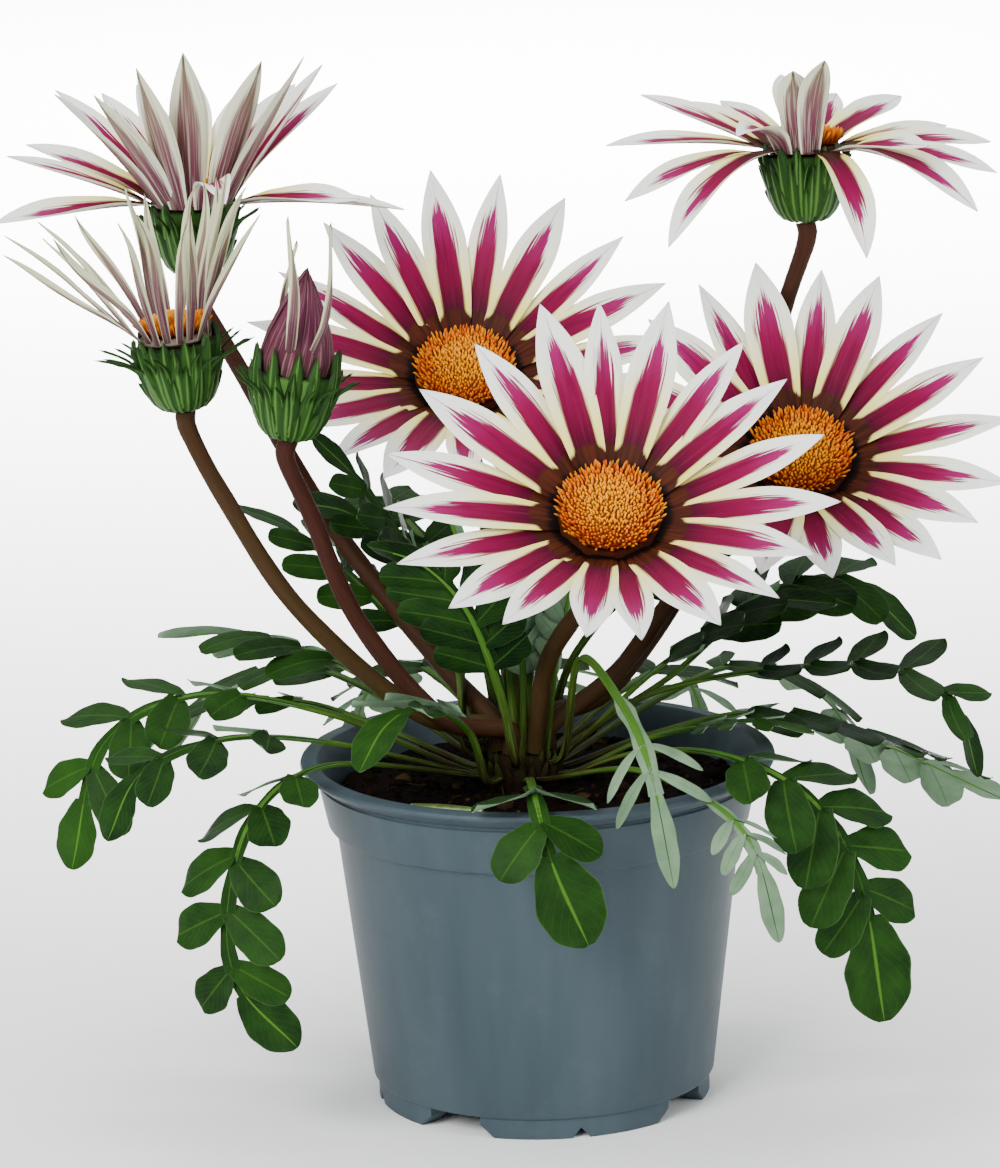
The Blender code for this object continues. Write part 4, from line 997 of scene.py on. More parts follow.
# A leaf: the crown ring and angle it starts at, the points its rib passes, its pairs of side
# lobes, their length, the end lobe's length, the bare share of the stalk, how far the blade
# turns about its rib, how its lobes fold up, how slim they are, whether it shows its pale
# side, how light its green is, and whether its stalk has turned it over (flip), so that its
# under side is the upper one.
Leaf = namedtuple("Leaf", "name ring start route pairs lobe tip bare turn fold slim pale light flip",
                  defaults=(0.0, 0.0, 1.0, False, 0.4, False))
LEAVES = (
    Leaf("leaf_far_left", LOW_RING, 186, ((-52, -4, 101), (-84, -9, 108), (-108, -17, 98), (-117, -22, 67)),
         4, 19, 18, 0.44, -50, 0.0, 1.1, light=0.55),
    Leaf("leaf_left", LOW_RING, 201, ((-52, -24, 99), (-77, -38, 104), (-97, -46, 98), (-106, -50, 82)),
         3, 17, 17, 0.5, -40, 0.0, 1.1, light=0.35),
    Leaf("leaf_left_hanging", LOW_RING, 217, ((-52, -31, 95), (-70, -44, 86), (-77, -50, 64),
         (-75, -48, 44),
         (-61, -50, 28)), 5, 18, 19, 0.38, -70, 0.0, 1.2, light=0.35),
    Leaf("leaf_front_left", LOW_RING, 235, ((-17, -14, 98), (-27, -26, 108), (-37, -36, 106),
         (-44, -43, 96)),
         2, 16, 21, 0.45, 0, 0.1, 1.2, light=0.45),
    Leaf("leaf_front", LOW_RING, 276, ((-2, -28, 89), (-1, -60, 92.5), (3, -69, 78), (11, -68, 58)),
         2, 18, 25, 0.46, 0, 0.0, 1.25, light=0.4),
    Leaf("leaf_front_low_right", LOW_RING, 297, ((23, -38, 94), (40, -60, 92), (51, -73, 83),
         (57, -76, 60)),
         3, 12, 20, 0.68, 20, -0.2, 0.6, pale=True),
    Leaf("leaf_right_hanging", LOW_RING, 318, ((25, -22, 94), (46, -38, 97), (66, -47, 88), (78, -51, 68),
         (84, -49, 31)), 5, 22, 28, 0.40, 66, 0.0, 1.1, light=0.35),
    Leaf("leaf_right_serrated", LOW_RING, 338, ((26, -7, 93), (42, -13, 98), (55, -17, 100), (69, -20, 97)),
         3, 10, 11, 0.5, 0, 0.1, 1.0, light=0.8),
    Leaf("leaf_far_right", LOW_RING, 12, ((30, 8, 91), (56, 14, 94), (86, 19, 85), (120, 20, 68)),
         6, 21, 16, 0.38, -40, 0.0, 1.2, pale=True, flip=True),
    Leaf("leaf_back_right", LOW_RING, 35, ((30, 28, 94), (55, 45, 99), (78, 58, 84), (88, 64, 58)),
         4, 17, 20, 0.42),
    Leaf("leaf_back_right_low", LOW_RING, 58, ((20, 38, 93), (36, 62, 94), (44, 80, 78), (46, 84, 50)),
         4, 16, 20, 0.42),
    Leaf("leaf_back", LOW_RING, 84, ((-1, 40, 94), (2, 66, 95), (6, 84, 80), (8, 90, 54)),
         4, 17, 20, 0.42),
    Leaf("leaf_back_left_low", LOW_RING, 112, ((-20, 40, 94), (-33, 62, 97), (-45, 80, 84), (-50, 86, 60)),
         4, 16, 20, 0.42),
    Leaf("leaf_back_left", LOW_RING, 140, ((-36, 28, 95), (-60, 46, 101), (-82, 60, 92), (-96, 68, 72)),
         4, 17, 20, 0.42),
    Leaf("leaf_back_far_left", LOW_RING, 163, ((-40, 14, 93), (-62, 22, 98), (-88, 32, 94), (-106, 38, 76)),
         4, 15, 18, 0.45),
    Leaf("leaf_pale_front", HIGH_RING, 318, ((11, -20, 118), (21, -46, 112), (27, -64, 100), (32, -72, 73)),
         2, 15, 25, 0.66, 0, -0.4, 0.42, pale=True),
    Leaf("leaf_right_curled", HIGH_RING, 356, ((30, -1, 104), (62, 1, 109), (90, 2, 108), (105, 0, 99),
         (111, -2, 80)), 5, 17, 16, 0.4, 32, 0.3, 1, light=0.25),
    Leaf("leaf_right_dark", HIGH_RING, 334, ((29, -5, 110), (44, -4, 120), (58, -3, 127), (76, -3, 126)),
         3, 19, 21, 0.42, 34, 0.0, 1.2, light=0.2),
    Leaf("leaf_right_broad", HIGH_RING, 16, ((34, 14, 104), (58, 26, 121), (80, 31, 124), (98, 33, 108)),
         4, 20, 20, 0.42, 36, 0.0, 1.2, light=0.35),
    Leaf("leaf_right_upright", HIGH_RING, 58, ((10, 22, 108), (28, 36, 126), (46, 44, 140), (62, 48, 147)),
         3, 17, 18, 0.48, 30, 0.0, 1.15, light=0.3),
    Leaf("leaf_tall", HIGH_RING, 76, ((4, 26, 118), (20, 42, 150), (36, 54, 176)),
         4, 13, 14, 0.45, 0, 0.2, 1, light=0.2),
    Leaf("leaf_left_pale", HIGH_RING, 175, ((-34, 8, 101), (-53, 14, 111), (-75, 18, 117), (-96, 20, 116)),
         3, 23, 24, 0.45, 30, -0.2, 0.75, pale=True, flip=True),
    Leaf("leaf_left_raised", HIGH_RING, 130, ((-26, 24, 108), (-42, 36, 122), (-60, 46, 136),
         (-77, 50, 143)),
         4, 16, 18, 0.4, 24, 0.0, 1),
    Leaf("leaf_left_high", HIGH_RING, 189, ((-20, 6, 112), (-30, 6, 138), (-42, 5, 157), (-55, 5, 171)),
         5, 15, 15, 0.4, -34, 0.1, 0.95, light=0.25),
    Leaf("leaf_left_middle", HIGH_RING, 162, ((-20, 12.2, 117.5), (-33, 22.5, 134.5), (-46, 28, 145),
         (-61, 30, 148)),
         3, 13.5, 17, 0.48, -30, 0.1, 1.15, light=0.2),
    Leaf("leaf_left_front", HIGH_RING, 262, ((-9, -16, 108), (-16, -22, 130), (-27, -26, 144),
         (-41, -28, 150)),
         5, 17, 18, 0.36, -32, 0.0, 1.15, light=0.15, flip=True),
    Leaf("leaf_back_upright", HIGH_RING, 92, ((-2, 24, 112), (-1, 52, 138), (4, 80, 148), (8, 98, 136)),
         4, 15, 18, 0.5),
    Leaf("leaf_back_upright_left", HIGH_RING, 114, ((-14, 26, 110), (-30, 56, 134), (-44, 78, 138),
         (-52, 92, 122)),
         4, 15, 18, 0.5),
)
PALE_SIDE_UP = [shape.name for shape in LEAVES if shape.pale]
print("leaves: %d, with the pale side up: %s" % (len(LEAVES), ", ".join(PALE_SIDE_UP)))

# %% [markdown]
# ## The leaf skins
# The green side has a pale rib, faint side veins that leave it at a slant, a thin pale
# margin where the felt shows round the edge, and a soft gloss. The felt side is grey-green
# and matt, and its rib is a darker line. The veins are lines of a triangle wave in the
# lobe's own places, about 2.5 mm apart.

# %% The leaf skins
def leaf_skin(name, dark, light, rib, margin, vein, rib_width, roughness, gloss, relief):
    """A leaf's side: two greens mixed by tint and mottle, its rib, side veins and margin."""
    material, shader, add = start_material(name, Roughness=roughness, Specular_IOR_Level=gloss)
    along, edge, tint, main, spot = read_skin(add, "along edge tint reach spot")
    mottle, grain = (add("TexNoise", spot, *scale).outputs["Fac"] for scale in ((160.0, 4.0), (900.0, 2.0)))
    blend = add("Math:ADD", add("Math:MULTIPLY_ADD", mottle, 0.9, -0.45), tint, use_clamp=True)
    ground = add("Mix", blend, dark, light)
    slant = add("Math:MULTIPLY_ADD", edge, -0.45, along)
    wave = add("Math:PINGPONG", add("Math:MULTIPLY", slant, 7.0), 0.5)
    side_vein = add("MapRange", wave, 0.07, 0.0, 0.0, 0.28, **SMOOTH)
    veined = add("Mix", side_vein, ground, vein)
    taper = add("MapRange", along, 0.0, 0.85, rib_width, 0.012)
    rib_line = add("MapRange", add("Math:SUBTRACT", edge, taper), 0.05, 0.0, 0.0, main, **SMOOTH)
    ribbed = add("Mix", rib_line, veined, rib)
    rim = add("MapRange", edge, 0.94, 1.0, 0.0, 0.6, **SMOOTH)
    height = add("Math:MULTIPLY_ADD", add("Math:ADD", side_vein, rib_line), relief, grain)
    connect(shader, Base_Color=add("Mix", rim, ribbed, margin),
            Normal=add("Bump", 0.5, 0.0003, Height=height))
    return material


# The leaf stalk and rib: brown at the foot, olive, then yellow-green.
stalk, shader, add = start_material("gazania leaf stalk, smooth", Roughness=0.5, Specular_IOR_Level=0.06)
along, across, tint = read_skin(add, "along across tint")
ripe = add("ValToRGB", along, stops={
    0.0: "#160d08", 0.08: "#241a0a", 0.2: "#304014", 0.45: "#38601c", 1.0: "#487226"})
streak, _ = streaks(add, across, along, tint, 2.0, 7.0, 9.0, 19.0)
skin = add("Mix", add("MapRange", streak, 0.45, 0.8, 0.0, 0.6), ripe, "#5a7832")
connect(shader, Base_Color=skin, Normal=add("Bump", 0.4, 0.0002, Height=streak))
print("made:", stalk.name)

leaf_green = leaf_skin("gazania leaf, green side, soft gloss", "#0a1c0a", "#254a12", "#40681e", "#435c34",
                       "#2c5420", 0.035, 0.48, 0.05, 0.8)
leaf_felt = leaf_skin("gazania leaf, felted side, matt", "#4a6449", "#829c7e", "#1f4419", "#34502e",
                      "#587453", 0.03, 0.85, 0.05, -0.7)

# %% Grow the leaves
STALK_WIDTH = 2.3
STALK_THICKNESS = 1.5
LEAF_BLADE = 0.5
LOBE_TWIST = tan(radians(13))
LOBE_FULLNESS = 0.26
END_LOBE_FULLNESS = 0.28


def leaf_rib(shape):
    """The rib's curve, from just off the crown's side through the leaf's points."""
    angle = radians(shape.start)
    outward = polar(1.0, angle, 0.0)
    rise = 0.25 if shape.ring == LOW_RING else 0.9
    first = CROWN_PLACE + outward * (CROWN_RADIUS + CLEARANCE + 0.1) + Vector((0, 0, shape.ring))
    second = first + (outward + UP * rise).normalized() * 6.0
    return Rib([first, second] + [Vector(point) for point in shape.route], (UP - outward * rise).normalized())


def blade_frame(rib, distance, shape, bare):
    """The rib's frame, turned about the rib along the blade."""
    place, tangent, side, normal = rib.frame(min(distance, rib.length))
    share = min(max((distance - bare) / (rib.length - bare), 0.0), 1.0)
    turn = Matrix.Rotation(radians(shape.turn) * share, 3, tangent)
    return place, tangent, turn @ side, turn @ normal


def lay_side_lobe(skin, fold, light, frame, hand, long, half, lean, detail, slots):
    """One side lobe: a rounded blade that leaves the rib at a slant."""
    place, tangent, side, normal = frame
    droop = detail.uniform(0.04, 0.20) * long
    sickle = detail.uniform(0.0, 0.14) * long
    vee = detail.uniform(0.05, 0.22)
    wave, phase = detail.uniform(0.02, 0.05), detail.uniform(0, 6)
    rows = []
    for step in shares(14):
        share = 1.0 - (1.0 - step) ** 1.5
        along = long * share * cos(lean) + sickle * share * share
        aside = hand * (0.4 + long * share * sin(lean))
        lift = fold * long * share * share - droop * share * share
        spot = place + tangent * along + side * aside + normal * lift
        way = (tangent * (cos(lean) + 2 * sickle / long * share) + side * (hand * sin(lean))
               + normal * (2 * share * (fold - droop / long))).normalized()
        up = (normal - way * normal.dot(way)).normalized()
        wide = half * outline(share, 0.36, 0.60, 2.3, 1.8) * (1 + wave * sin(5 * pi * share + phase))
        rows.append((spot, way.cross(up), up, wide, LEAF_BLADE, share, 0.35))

    def lift_across(share, cross):
        return half * (-hand * LOBE_TWIST * cross + vee * abs(cross) ** 1.5 * (1.0 - 0.5 * share))

    tint = light + detail.uniform(-0.16, 0.16)
    blade(skin, rows, 8, lift_across, tint, slots)


def lay_end_lobe(skin, shape, rib, bare, rib_end, detail, slots):
    """The end lobe, the largest one, on the rib's last stretch."""
    half = shape.tip * END_LOBE_FULLNESS * shape.slim
    vee = detail.uniform(0.08, 0.2)
    wave, phase = detail.uniform(0.02, 0.04), detail.uniform(0, 6)
    rows = []
    for step in shares(20):
        share = 1.0 - (1.0 - step) ** 1.4
        place, _, side, normal = blade_frame(rib, rib_end + (rib.length - rib_end) * share, shape, bare)
        wide = half * outline(share, 0.35, 0.52, 2.1, 1.6) * (1 + wave * sin(6 * pi * share + phase))
        rows.append((place, side, normal, wide, LEAF_BLADE, share, 1.0))
    tint = shape.light + detail.uniform(-0.1, 0.1)
    blade(skin, rows, 10, lambda share, cross: half * vee * abs(cross) ** 1.4, tint, slots)


def grow_leaf(shape):
    """Stalk, wing, side lobes and end lobe in one skin."""
    rng = random.Random(shape.name)
    detail = random.Random(shape.name + " detail")
    rib = leaf_rib(shape)
    bare = rib.length * shape.bare
    pairs = shape.pairs
    rib_end = rib.length - shape.tip
    pitch = (rib_end - bare) / pairs
    slots = (1, 0) if shape.pale != shape.flip else (0, 1)
    skin = Skin()
    for pair in range(pairs):
        size = shape.lobe * (0.66 + 0.34 * sin(pi * (pair + 1.2) / (pairs + 1.4)))
        half = min(size * LOBE_FULLNESS * shape.slim, pitch * 0.62)
        lean = radians(60 if pair < pairs - 1 else 52)
        for hand in (-1, 1):
            long = size * rng.uniform(0.88, 1.08)
            at = bare + (pair + 0.5) * pitch + detail.uniform(-0.08, 0.08) * pitch - half * 0.25
            frame_there = blade_frame(rib, at, shape, bare)
            lay_side_lobe(skin, shape.fold, shape.light, frame_there, hand, long, half, lean, detail, slots)
    lay_end_lobe(skin, shape, rib, bare, rib_end, detail, slots)
    # The wing: a narrow blade on both sides of the rib, from above the bare stalk to the end lobe.
    rows = []
    for share in shares(30):
        distance = bare * 0.8 + (rib_end + 3.0 - bare * 0.8) * share
        place, _, side, normal = blade_frame(rib, distance, shape, bare)
        wide = min(1.2 + 5.0 * share, 2.1) * (1 + 0.15 * sin(share * pairs * tau))
        rows.append((place, side, normal, wide, 0.7, 0.35, 0.6))
    blade(skin, rows, 4, lambda share, cross: 0.15 * abs(cross), shape.light, slots)
    rings = []
    stalk_end = rib_end + shape.tip * 0.62
    for share in shares(56):
        distance = stalk_end * share
        place, _, side, normal = blade_frame(rib, distance, shape, bare)
        past = max(distance - bare, 0.0) / (stalk_end - bare)
        wide = STALK_WIDTH / 2 * (1.25 - 0.25 * min(share * 4, 1.0)) * (1 - 0.78 * past)
        high = STALK_THICKNESS / 2 * (1.1 - 0.62 * past)
        rings.append((place - normal * 0.12 * past, side, normal, wide, high, distance / rib.length, 0.0))
    tube(skin, rings, 12, detail.random(), 2, 0.45)
    slot = "leaf_underside" if shape.pale else "leaf_green"
    skin.build("blade_" + shape.name, (leaf_green, leaf_felt, stalk), shape.name, slot)
    return len(skin.faces)


print("leaf faces:", sum(grow_leaf(shape) for shape in LEAVES))

# %% [markdown]
# ## The crown
# All stalks and stems spring from a short crown that stands a little out of the soil. The
# feet of old and new stalks clasp it like scales, brown below and olive above.

# %% The crown's scales
# Brown to olive, streaked upward.
crown_bark, shader, add = start_material("gazania rootstock, fibrous",
                                         Roughness=0.8, Specular_IOR_Level=0.05)
along, tint, spot = read_skin(add, "along tint spot")
grain = add("TexNoise", spot, 700.0, 4.0).outputs["Fac"]
level = add("Math:MULTIPLY_ADD", add("Math:SUBTRACT", tint, 0.5), 0.5, along)
ripe = add("ValToRGB", level, stops={0.0: "#0e0906", 0.45: "#1e140c", 0.8: "#2e2812", 1.0: "#3a421a"})
skin = add("Mix", 0.6, ripe, grain, blend_type="MULTIPLY")
connect(shader, Base_Color=skin, Normal=add("Bump", 0.7, 0.0006, Height=grain))
print("made:", crown_bark.name)

CROWN_FOOT = 74.0
# Young leaf stalks on the crown's top: angle, distance from its middle, lean outward in
# degrees, height of the tip, and radius.
YOUNG_STALKS = (
    (271, 6.9, 9, 142, 1.0), (325, 7.2, 12, 136, 1.0), (73, 6.8, 10, 158, 1.0), (250, 2.5, 10, 150, 1.3),
    (310, 2.6, 6, 156, 1.3), (10, 2.6, 9, 156, 1.2), (70, 2.6, 7, 156, 1.1), (130, 2.6, 8, 155, 1.2),
    (190, 2.6, 13, 152, 1.2),
)
detail = random.Random("crown")
skin = Skin()
no_turn = Matrix.Identity(3)
crown_profile = (
    (0.0, CROWN_FOOT), (CROWN_RADIUS - 0.8, CROWN_FOOT), (CROWN_RADIUS - 0.6, 82.0),
    (CROWN_RADIUS - 1.0, 87.0), (CROWN_RADIUS - 2.2, CROWN_TOP - 0.8), (0.0, CROWN_TOP - 0.4))
lathe(skin, crown_profile, 40, CROWN_PLACE, no_turn, 0.3, 0,
      lambda row, angle: (0.5 * sin(7 * angle + row) if 0 < row < 5 else 0.0, 0.0))
# The scales, ring by ring: how many, where they start and end, and how far their tips lean.
SCALES = ((20, 76.0, 88.5, 1.2), (17, 78.0, 91.0, 0.4), (12, 83.0, 94.0, -1.6))
for ring, (count, low, high, spread) in enumerate(SCALES):
    for number in range(count):
        angle = tau * (number + 0.5 * ring + detail.uniform(-0.2, 0.2)) / count
        outward, across = ways(angle)
        top = high + detail.uniform(-1.5, 1.5)
        rows = []
        for share in shares(10):
            out = CROWN_RADIUS - 0.6 - 1.4 * ring + spread * share ** 2
            place = CROWN_PLACE + outward * out + Vector((0, 0, low + (top - low) * share))
            normal = (outward - UP * 0.2 * share).normalized()
            wide = 2.2 * outline(share, 0.9, 0.3, 1.6)
            rows.append((place, UP.cross(normal).normalized(), normal, wide, 1.2, share, 0.0))
        blade(skin, rows, 6, lambda share, cross: -0.5 * cross * cross, detail.random(), (0, 0))
for number, (start, ring, lean, top, radius) in enumerate(YOUNG_STALKS):
    angle = radians(start)
    outward = polar(1.0, angle, 0.0)
    across = UP.cross(outward)
    foot = CROWN_PLACE + polar(ring, angle, CROWN_TOP - 2.0)
    rise = top - foot.z
    tilt = tan(radians(lean))
    rings = []
    for share in shares(28):
        sway = across * (0.7 * sin(5.0 * share + number))
        place = foot + UP * (rise * share) + outward * (rise * tilt * share ** 1.4) + sway
        way = (UP + outward * (tilt * 1.4 * share ** 0.4)).normalized()
        rings.append((place, across, way.cross(across), radius * (1.15 - 0.6 * share),
                      radius * (1.0 - 0.5 * share), 0.08 + 0.7 * share, 0.0))
    tube(skin, rings, 10, detail.random(), 1, 0.4)
    # Small lobes and a young blade, still folded along its rib, end each stalk.
    for pair in range(4):
        place, side, normal, *_ = rings[12 + 3 * pair]
        frame_there = (place, side.cross(normal), side, normal)
        for hand in (-1, 1):
            lay_side_lobe(skin, 0.45, 0.45, frame_there, hand, detail.uniform(7.5, 10.0), 2.3,
                          radians(42), detail, (2, 3))
    rows = [(place, side, normal, 3.6 * outline(step / 16, 0.25, 0.5, 1.8, 1.5), 0.5, step / 16, 0.6)
            for step, (place, side, normal, *_) in enumerate(rings[-17:])]
    blade(skin, rows, 6, lambda share, cross: 2.0 * abs(cross), 0.25, (2, 3))
skin.build("clasping_crown", (crown_bark, stalk, leaf_green, leaf_felt), "crown", "rootstock")
print("crown faces:", len(skin.faces))

# %% [markdown]
# ## The soil
# Potting soil is peat with bark and fibre: nearly black, lumpy, with lighter crumbs. A
# rolling surface fills the pot, hundreds of crumbs lie on it, and short bark fibres cross.
# Real lumps catch the light as bump alone can't do at the pot's rim.

# %% The soil's skin
# Moist peat, with brown bark crumbs picked by tint.
peat, shader, add = start_material("potting soil, moist peat and bark", Roughness=0.95,
                                   Specular_IOR_Level=0.05)
tint, spot = read_skin(add, "tint spot")
grain = add("TexNoise", spot, 850.0, 5.0).outputs["Fac"]
crumb = add("ValToRGB", tint, stops={0.0: "#0a0604", 0.6: "#160d07", 0.85: "#281a0e", 1.0: "#4a3820"})
skin = add("Mix", 0.7, crumb, grain, blend_type="MULTIPLY")
connect(shader, Base_Color=skin, Normal=add("Bump", 0.9, 0.0008, Height=grain))
print("made:", peat.name)

# %% Fill the pot
SOIL_TOP = 81.0
SOIL_REACH = 50.8
SOIL_FLOOR = 7.7
SOIL_SIDES = 96
SOIL_ROWS = 26
CRUMBS = 620
FIBRES = 90
detail = random.Random("soil")
skin = Skin()


def soil_height(x, y):
    """The soil's surface: rolling by a millimetre, lower at the pot's wall."""
    edge = hypot(x, y) / SOIL_REACH
    roll = noise.noise(Vector((x * 0.09, y * 0.09, 3.0)))
    roll += 0.5 * noise.noise(Vector((x * 0.35, y * 0.35, 9.0)))
    return SOIL_TOP - 0.3 + 1.1 * roll - 0.9 * edge ** 6


before = [skin.point(Vector((0, 0, soil_height(0, 0))), tint=0.3)]
for row in range(1, SOIL_ROWS + 1):
    radius = SOIL_REACH * row / SOIL_ROWS
    ring = []
    for column in range(SOIL_SIDES):
        spot = polar(radius, tau * column / SOIL_SIDES, 0)
        spot.z = soil_height(spot.x, spot.y)
        ring.append(skin.point(spot, radius, column / SOIL_SIDES, detail.uniform(0.1, 0.55)))
    skin.join(before, ring)
    before = ring
for radius, height in ((50.0, 72.0), (43.0, SOIL_FLOOR + 2.0), (40.0, SOIL_FLOOR)):
    ring = [skin.point(polar(radius, tau * column / SOIL_SIDES, height), tint=0.3)
            for column in range(SOIL_SIDES)]
    skin.join(before, ring)
    before = ring
skin.face(before[::-1])

lump = bmesh.new()
bmesh.ops.create_icosphere(lump, subdivisions=1, radius=1.0)
ball_points = [vertex.co.copy() for vertex in lump.verts]
ball_faces = [tuple(vertex.index for vertex in face.verts) for face in lump.faces]
lump.free()
for number in range(CRUMBS):
    angle = detail.uniform(0, tau)
    radius = SOIL_REACH * sqrt(detail.uniform(0.02, 0.985))
    spot = polar(radius, angle, 0)
    size = 0.45 + 1.5 * detail.random() ** 3
    tint = detail.random() ** 1.6
    stretch = Vector((detail.uniform(0.8, 1.5), detail.uniform(0.8, 1.3), detail.uniform(0.5, 0.9))) * size
    spin = Matrix.Rotation(detail.uniform(0, 6.28), 3, "Z")
    centre = Vector((spot.x, spot.y, soil_height(spot.x, spot.y) + 0.25 * size))
    base = len(skin.points)
    for point in ball_points:
        rough = 1.0 + 0.45 * noise.noise(point * 1.7 + Vector((number, 0, 0)))
        skin.point(centre + spin @ (point * stretch) * rough, tint=tint)
    for face in ball_faces:
        skin.face(base + corner for corner in face)
for number in range(FIBRES):
    angle = detail.uniform(0, tau)
    radius = SOIL_REACH * sqrt(detail.uniform(0.05, 0.9))
    spot = polar(radius, angle, 0)
    way = polar(1.0, detail.uniform(0, 6.28), detail.uniform(-0.1, 0.25)).normalized()
    side = way.cross(UP).normalized()
    normal = side.cross(way)
    long = detail.uniform(2.0, 6.5)
    thin = detail.uniform(0.12, 0.32)
    start = Vector((spot.x, spot.y, soil_height(spot.x, spot.y) + 0.3))
    bow = side * detail.uniform(-0.8, 0.8)
    rings = [(start + way * (long * share) + bow * sin(pi * share), side, normal,
              thin, thin * 0.6, share, 0.0) for share in (0.0, 0.3, 0.6, 1.0)]
    if all(hypot(ring[0].x, ring[0].y) < SOIL_REACH - 0.5 for ring in rings):
        tube(skin, rings, 5, detail.uniform(0.6, 1.0))
skin.build("potting_mix", (peat,), "soil", "potting_soil", 70)
print("soil faces:", len(skin.faces))

# %% [markdown]
# ## The cut stalk on the soil
# At the front left a pale leaf stalk lies on the soil, left from trimming: a fleshy
# half-round stalk, channelled on top, with a lighter cut end.

# %% The cut stalk
# Pale green, lighter at its cut ends.
cut_green, shader, add = start_material("cut gazania leaf stalk, fleshy", Roughness=0.45)
along, spot = read_skin(add, "along spot")
ends = add("ValToRGB", along, stops={
    0.0: "#9aa06a", 0.05: "#4f6426", 0.5: "#425a20", 0.93: "#506a2a", 1.0: "#a8ac80"})
streak = add("TexNoise", spot, 500.0, 3.0).outputs["Fac"]
skin = add("Mix", add("MapRange", streak, 0.45, 0.75, 0.0, 0.6), ends, "#7c9048")
connect(shader, Base_Color=skin, Normal=add("Bump", 0.3, 0.0002, Height=streak))
print("made:", cut_green.name)

start, end = Vector((-32, -28, SOIL_TOP + 2.4)), Vector((-14, -33, SOIL_TOP + 2.2))
way = (end - start).normalized()
side = way.cross(UP).normalized()
normal = side.cross(way)
rings = []
for share in shares(24):
    radius = 1.0 + 0.3 * sin(pi * min(share * 1.1, 1.0))
    place = start.lerp(end, share) + side * (0.8 * sin(2.6 * share)) + UP * (0.3 * sin(pi * share) - 0.4)
    rings.append((place, side, normal, radius * 1.1, radius * 0.95, share, 0.0))
skin = Skin()
tube(skin, rings, 16, 0.5, 0, 0.4)
skin.build("trimmed_stalk", (cut_green,), "cut_petiole", "pale_leaf_stalk")
print("cut stalk: %.0f mm long" % (end - start).length)

# %% [markdown]
# ## The pot
# The pot is blow-moulded polypropylene in grey-blue: a flared lip, a groove under it, a
# band, one step, and a plain tapering body on four feet. Its surface is matt with a soft
# sheen. The printing on the real one is left off. The frame's pot has 36 flat sides, so it
# is turned again with 200, from the same profile with its edges rounded.

# %% The pot's plastic
# Grey-blue moulded plastic with a fine matt grain, and tall bands of darker and lighter tone: partly faint
# flow lines, partly painted reflection bands.
plastic, shader, add = start_material("polypropylene, grey-blue, matt moulded", Roughness=0.46,
                                      Specular_IOR_Level=0.16)
spot = add("TexCoord").outputs["Object"]
# The bands run up the wall, partly flow lines and partly painted reflection: the noise is stretched ten times
# along Z.
flow_and_reflection_bands = add("TexNoise", add("VectorMath:MULTIPLY", spot, (60.0, 60.0, 6.0)), 1.0, 3.0).outputs["Fac"]
grain = add("TexNoise", spot, 1800.0, 2.0).outputs["Fac"]
dust = add("TexNoise", spot, 45.0, 5.0, 0.7).outputs["Fac"]
# The tone between the two blue-greys follows the bands: partly flow lines, partly painted reflection.
tone = add("Mix", add("MapRange", flow_and_reflection_bands, 0.3, 0.7), "#323f45", "#3e4b52")
dusty = add("Mix", add("MapRange", dust, 0.55, 0.8, 0.0, 0.3), tone, "#525e62")
connect(shader, Base_Color=dusty, Roughness=add("MapRange", dust, 0.0, 1.0, 0.40, 0.56),
        Normal=add("Bump", 0.25, 0.0001, Height=grain))
print("made:", plastic.name)

# %% Turn the pot
POT_HEIGHT = 88.5
LIP_RADIUS = 60.0
LIP_INNER_RADIUS = 55.2
GROOVE_RADIUS = 55.9
BAND_RADIUS = 53.3
BAND_BOTTOM = 72.0
BODY_TOP_RADIUS = 51.2
BODY_BOTTOM_RADIUS = 43.4
FOOT_HEIGHT = 5.3
WALL = 1.4
FLOOR = 2.0
FOOT_COUNT = 4
FOOT_SPAN = radians(70)
FOOT_TURN = radians(12)
FOOT_DEPTH = 7.0
POT_SIDES = 200
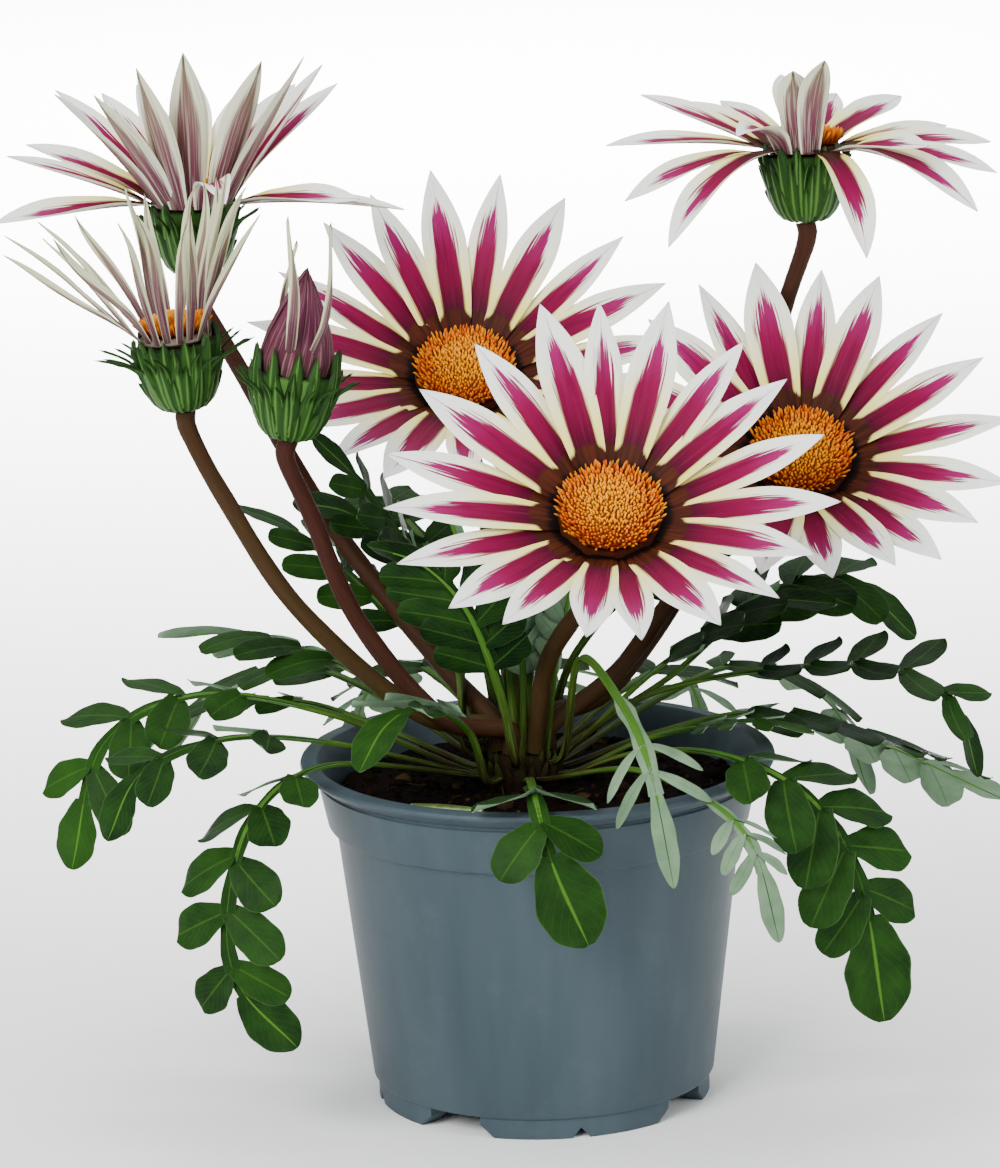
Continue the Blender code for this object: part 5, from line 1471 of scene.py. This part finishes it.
# The circles of the profile, from the floor's underside up the wall, over the lip and down
# inside: radius, height and the points that round each, as steps outward and upward.
POT_CIRCLES = (
    (0.0, FOOT_HEIGHT, ((0.0, 0.0),)),
    (BODY_BOTTOM_RADIUS, FOOT_HEIGHT, ((-1.6, 0.0), (-0.6, 0.2), (0.0, 1.1))),
    (BODY_TOP_RADIUS, BAND_BOTTOM, ((-0.05, -1.2), (0.25, -0.7))),
    (BAND_RADIUS, BAND_BOTTOM, ((-0.4, -0.1), (0.0, 0.5))),
    (GROOVE_RADIUS, POT_HEIGHT, ((-0.3, -5.3), (-0.7, -4.9), (-0.8, -4.3), (-0.1, -4.0), (0.5, -3.8))),
    (LIP_RADIUS, POT_HEIGHT, ((-0.9, -1.9), (-0.2, -1.4), (0.0, -0.9), (-0.2, -0.3), (-0.8, 0.0))),
    (LIP_INNER_RADIUS, POT_HEIGHT, ((0.6, 0.0), (-0.1, -0.6))),
    (GROOVE_RADIUS, POT_HEIGHT, ((-3.0, -5.0),)),
    (BAND_RADIUS - WALL, BAND_BOTTOM, ((-1.2, 0.0),)),
    (BODY_BOTTOM_RADIUS - WALL, FOOT_HEIGHT + FLOOR, ((0.0, 0.0),)),
    (0.0, FOOT_HEIGHT + FLOOR, ((0.0, 0.0),)),
)
POT_PROFILE = [(radius + out, height + up) for radius, height, steps in POT_CIRCLES for out, up in steps]
skin = Skin()
lathe(skin, POT_PROFILE, POT_SIDES, Vector(), no_turn)


def turn_foot(skin, middle):
    """A curved foot under the floor, with slanted ends and a small notch in its middle."""
    inner, outer, top = BODY_BOTTOM_RADIUS - FOOT_DEPTH, BODY_BOTTOM_RADIUS - 1.2, FOOT_HEIGHT + 0.8
    half, slant, notch = FOOT_SPAN / 2, radians(5), radians(3.2)
    turns = [-half + FOOT_SPAN * step / 40 for step in range(41)]
    turns = sorted(turns + [-half + slant, half - slant, -notch, notch])
    before = None
    for place in turns:
        edge = max(1.0 - (half - abs(place)) / slant, 0.0)
        dip = max(1.0 - abs(place) / notch, 0.0)
        low = 3.0 * edge + 2.6 * dip
        angle = middle + place
        corners = ((inner, low), (outer - 0.3, low), (outer, low + 0.3), (outer, top), (inner, top))
        ring = [skin.point(polar(radius, angle, height)) for radius, height in corners]
        if before:
            skin.join(before, ring)
        else:
            skin.face(ring)
        before = ring
    skin.face(before[::-1])


for number in range(FOOT_COUNT):
    turn_foot(skin, -pi / 2 + FOOT_TURN + number * tau / FOOT_COUNT)
skin.build("nursery_pot", (plastic,), "pot", "pot_plastic", 28)
print("pot faces:", len(skin.faces))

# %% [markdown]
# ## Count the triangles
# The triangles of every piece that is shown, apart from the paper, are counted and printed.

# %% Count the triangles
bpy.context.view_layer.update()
triangles = sum(len(polygon.vertices) - 2 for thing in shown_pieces() for polygon in thing.data.polygons)
print("triangles:", triangles)
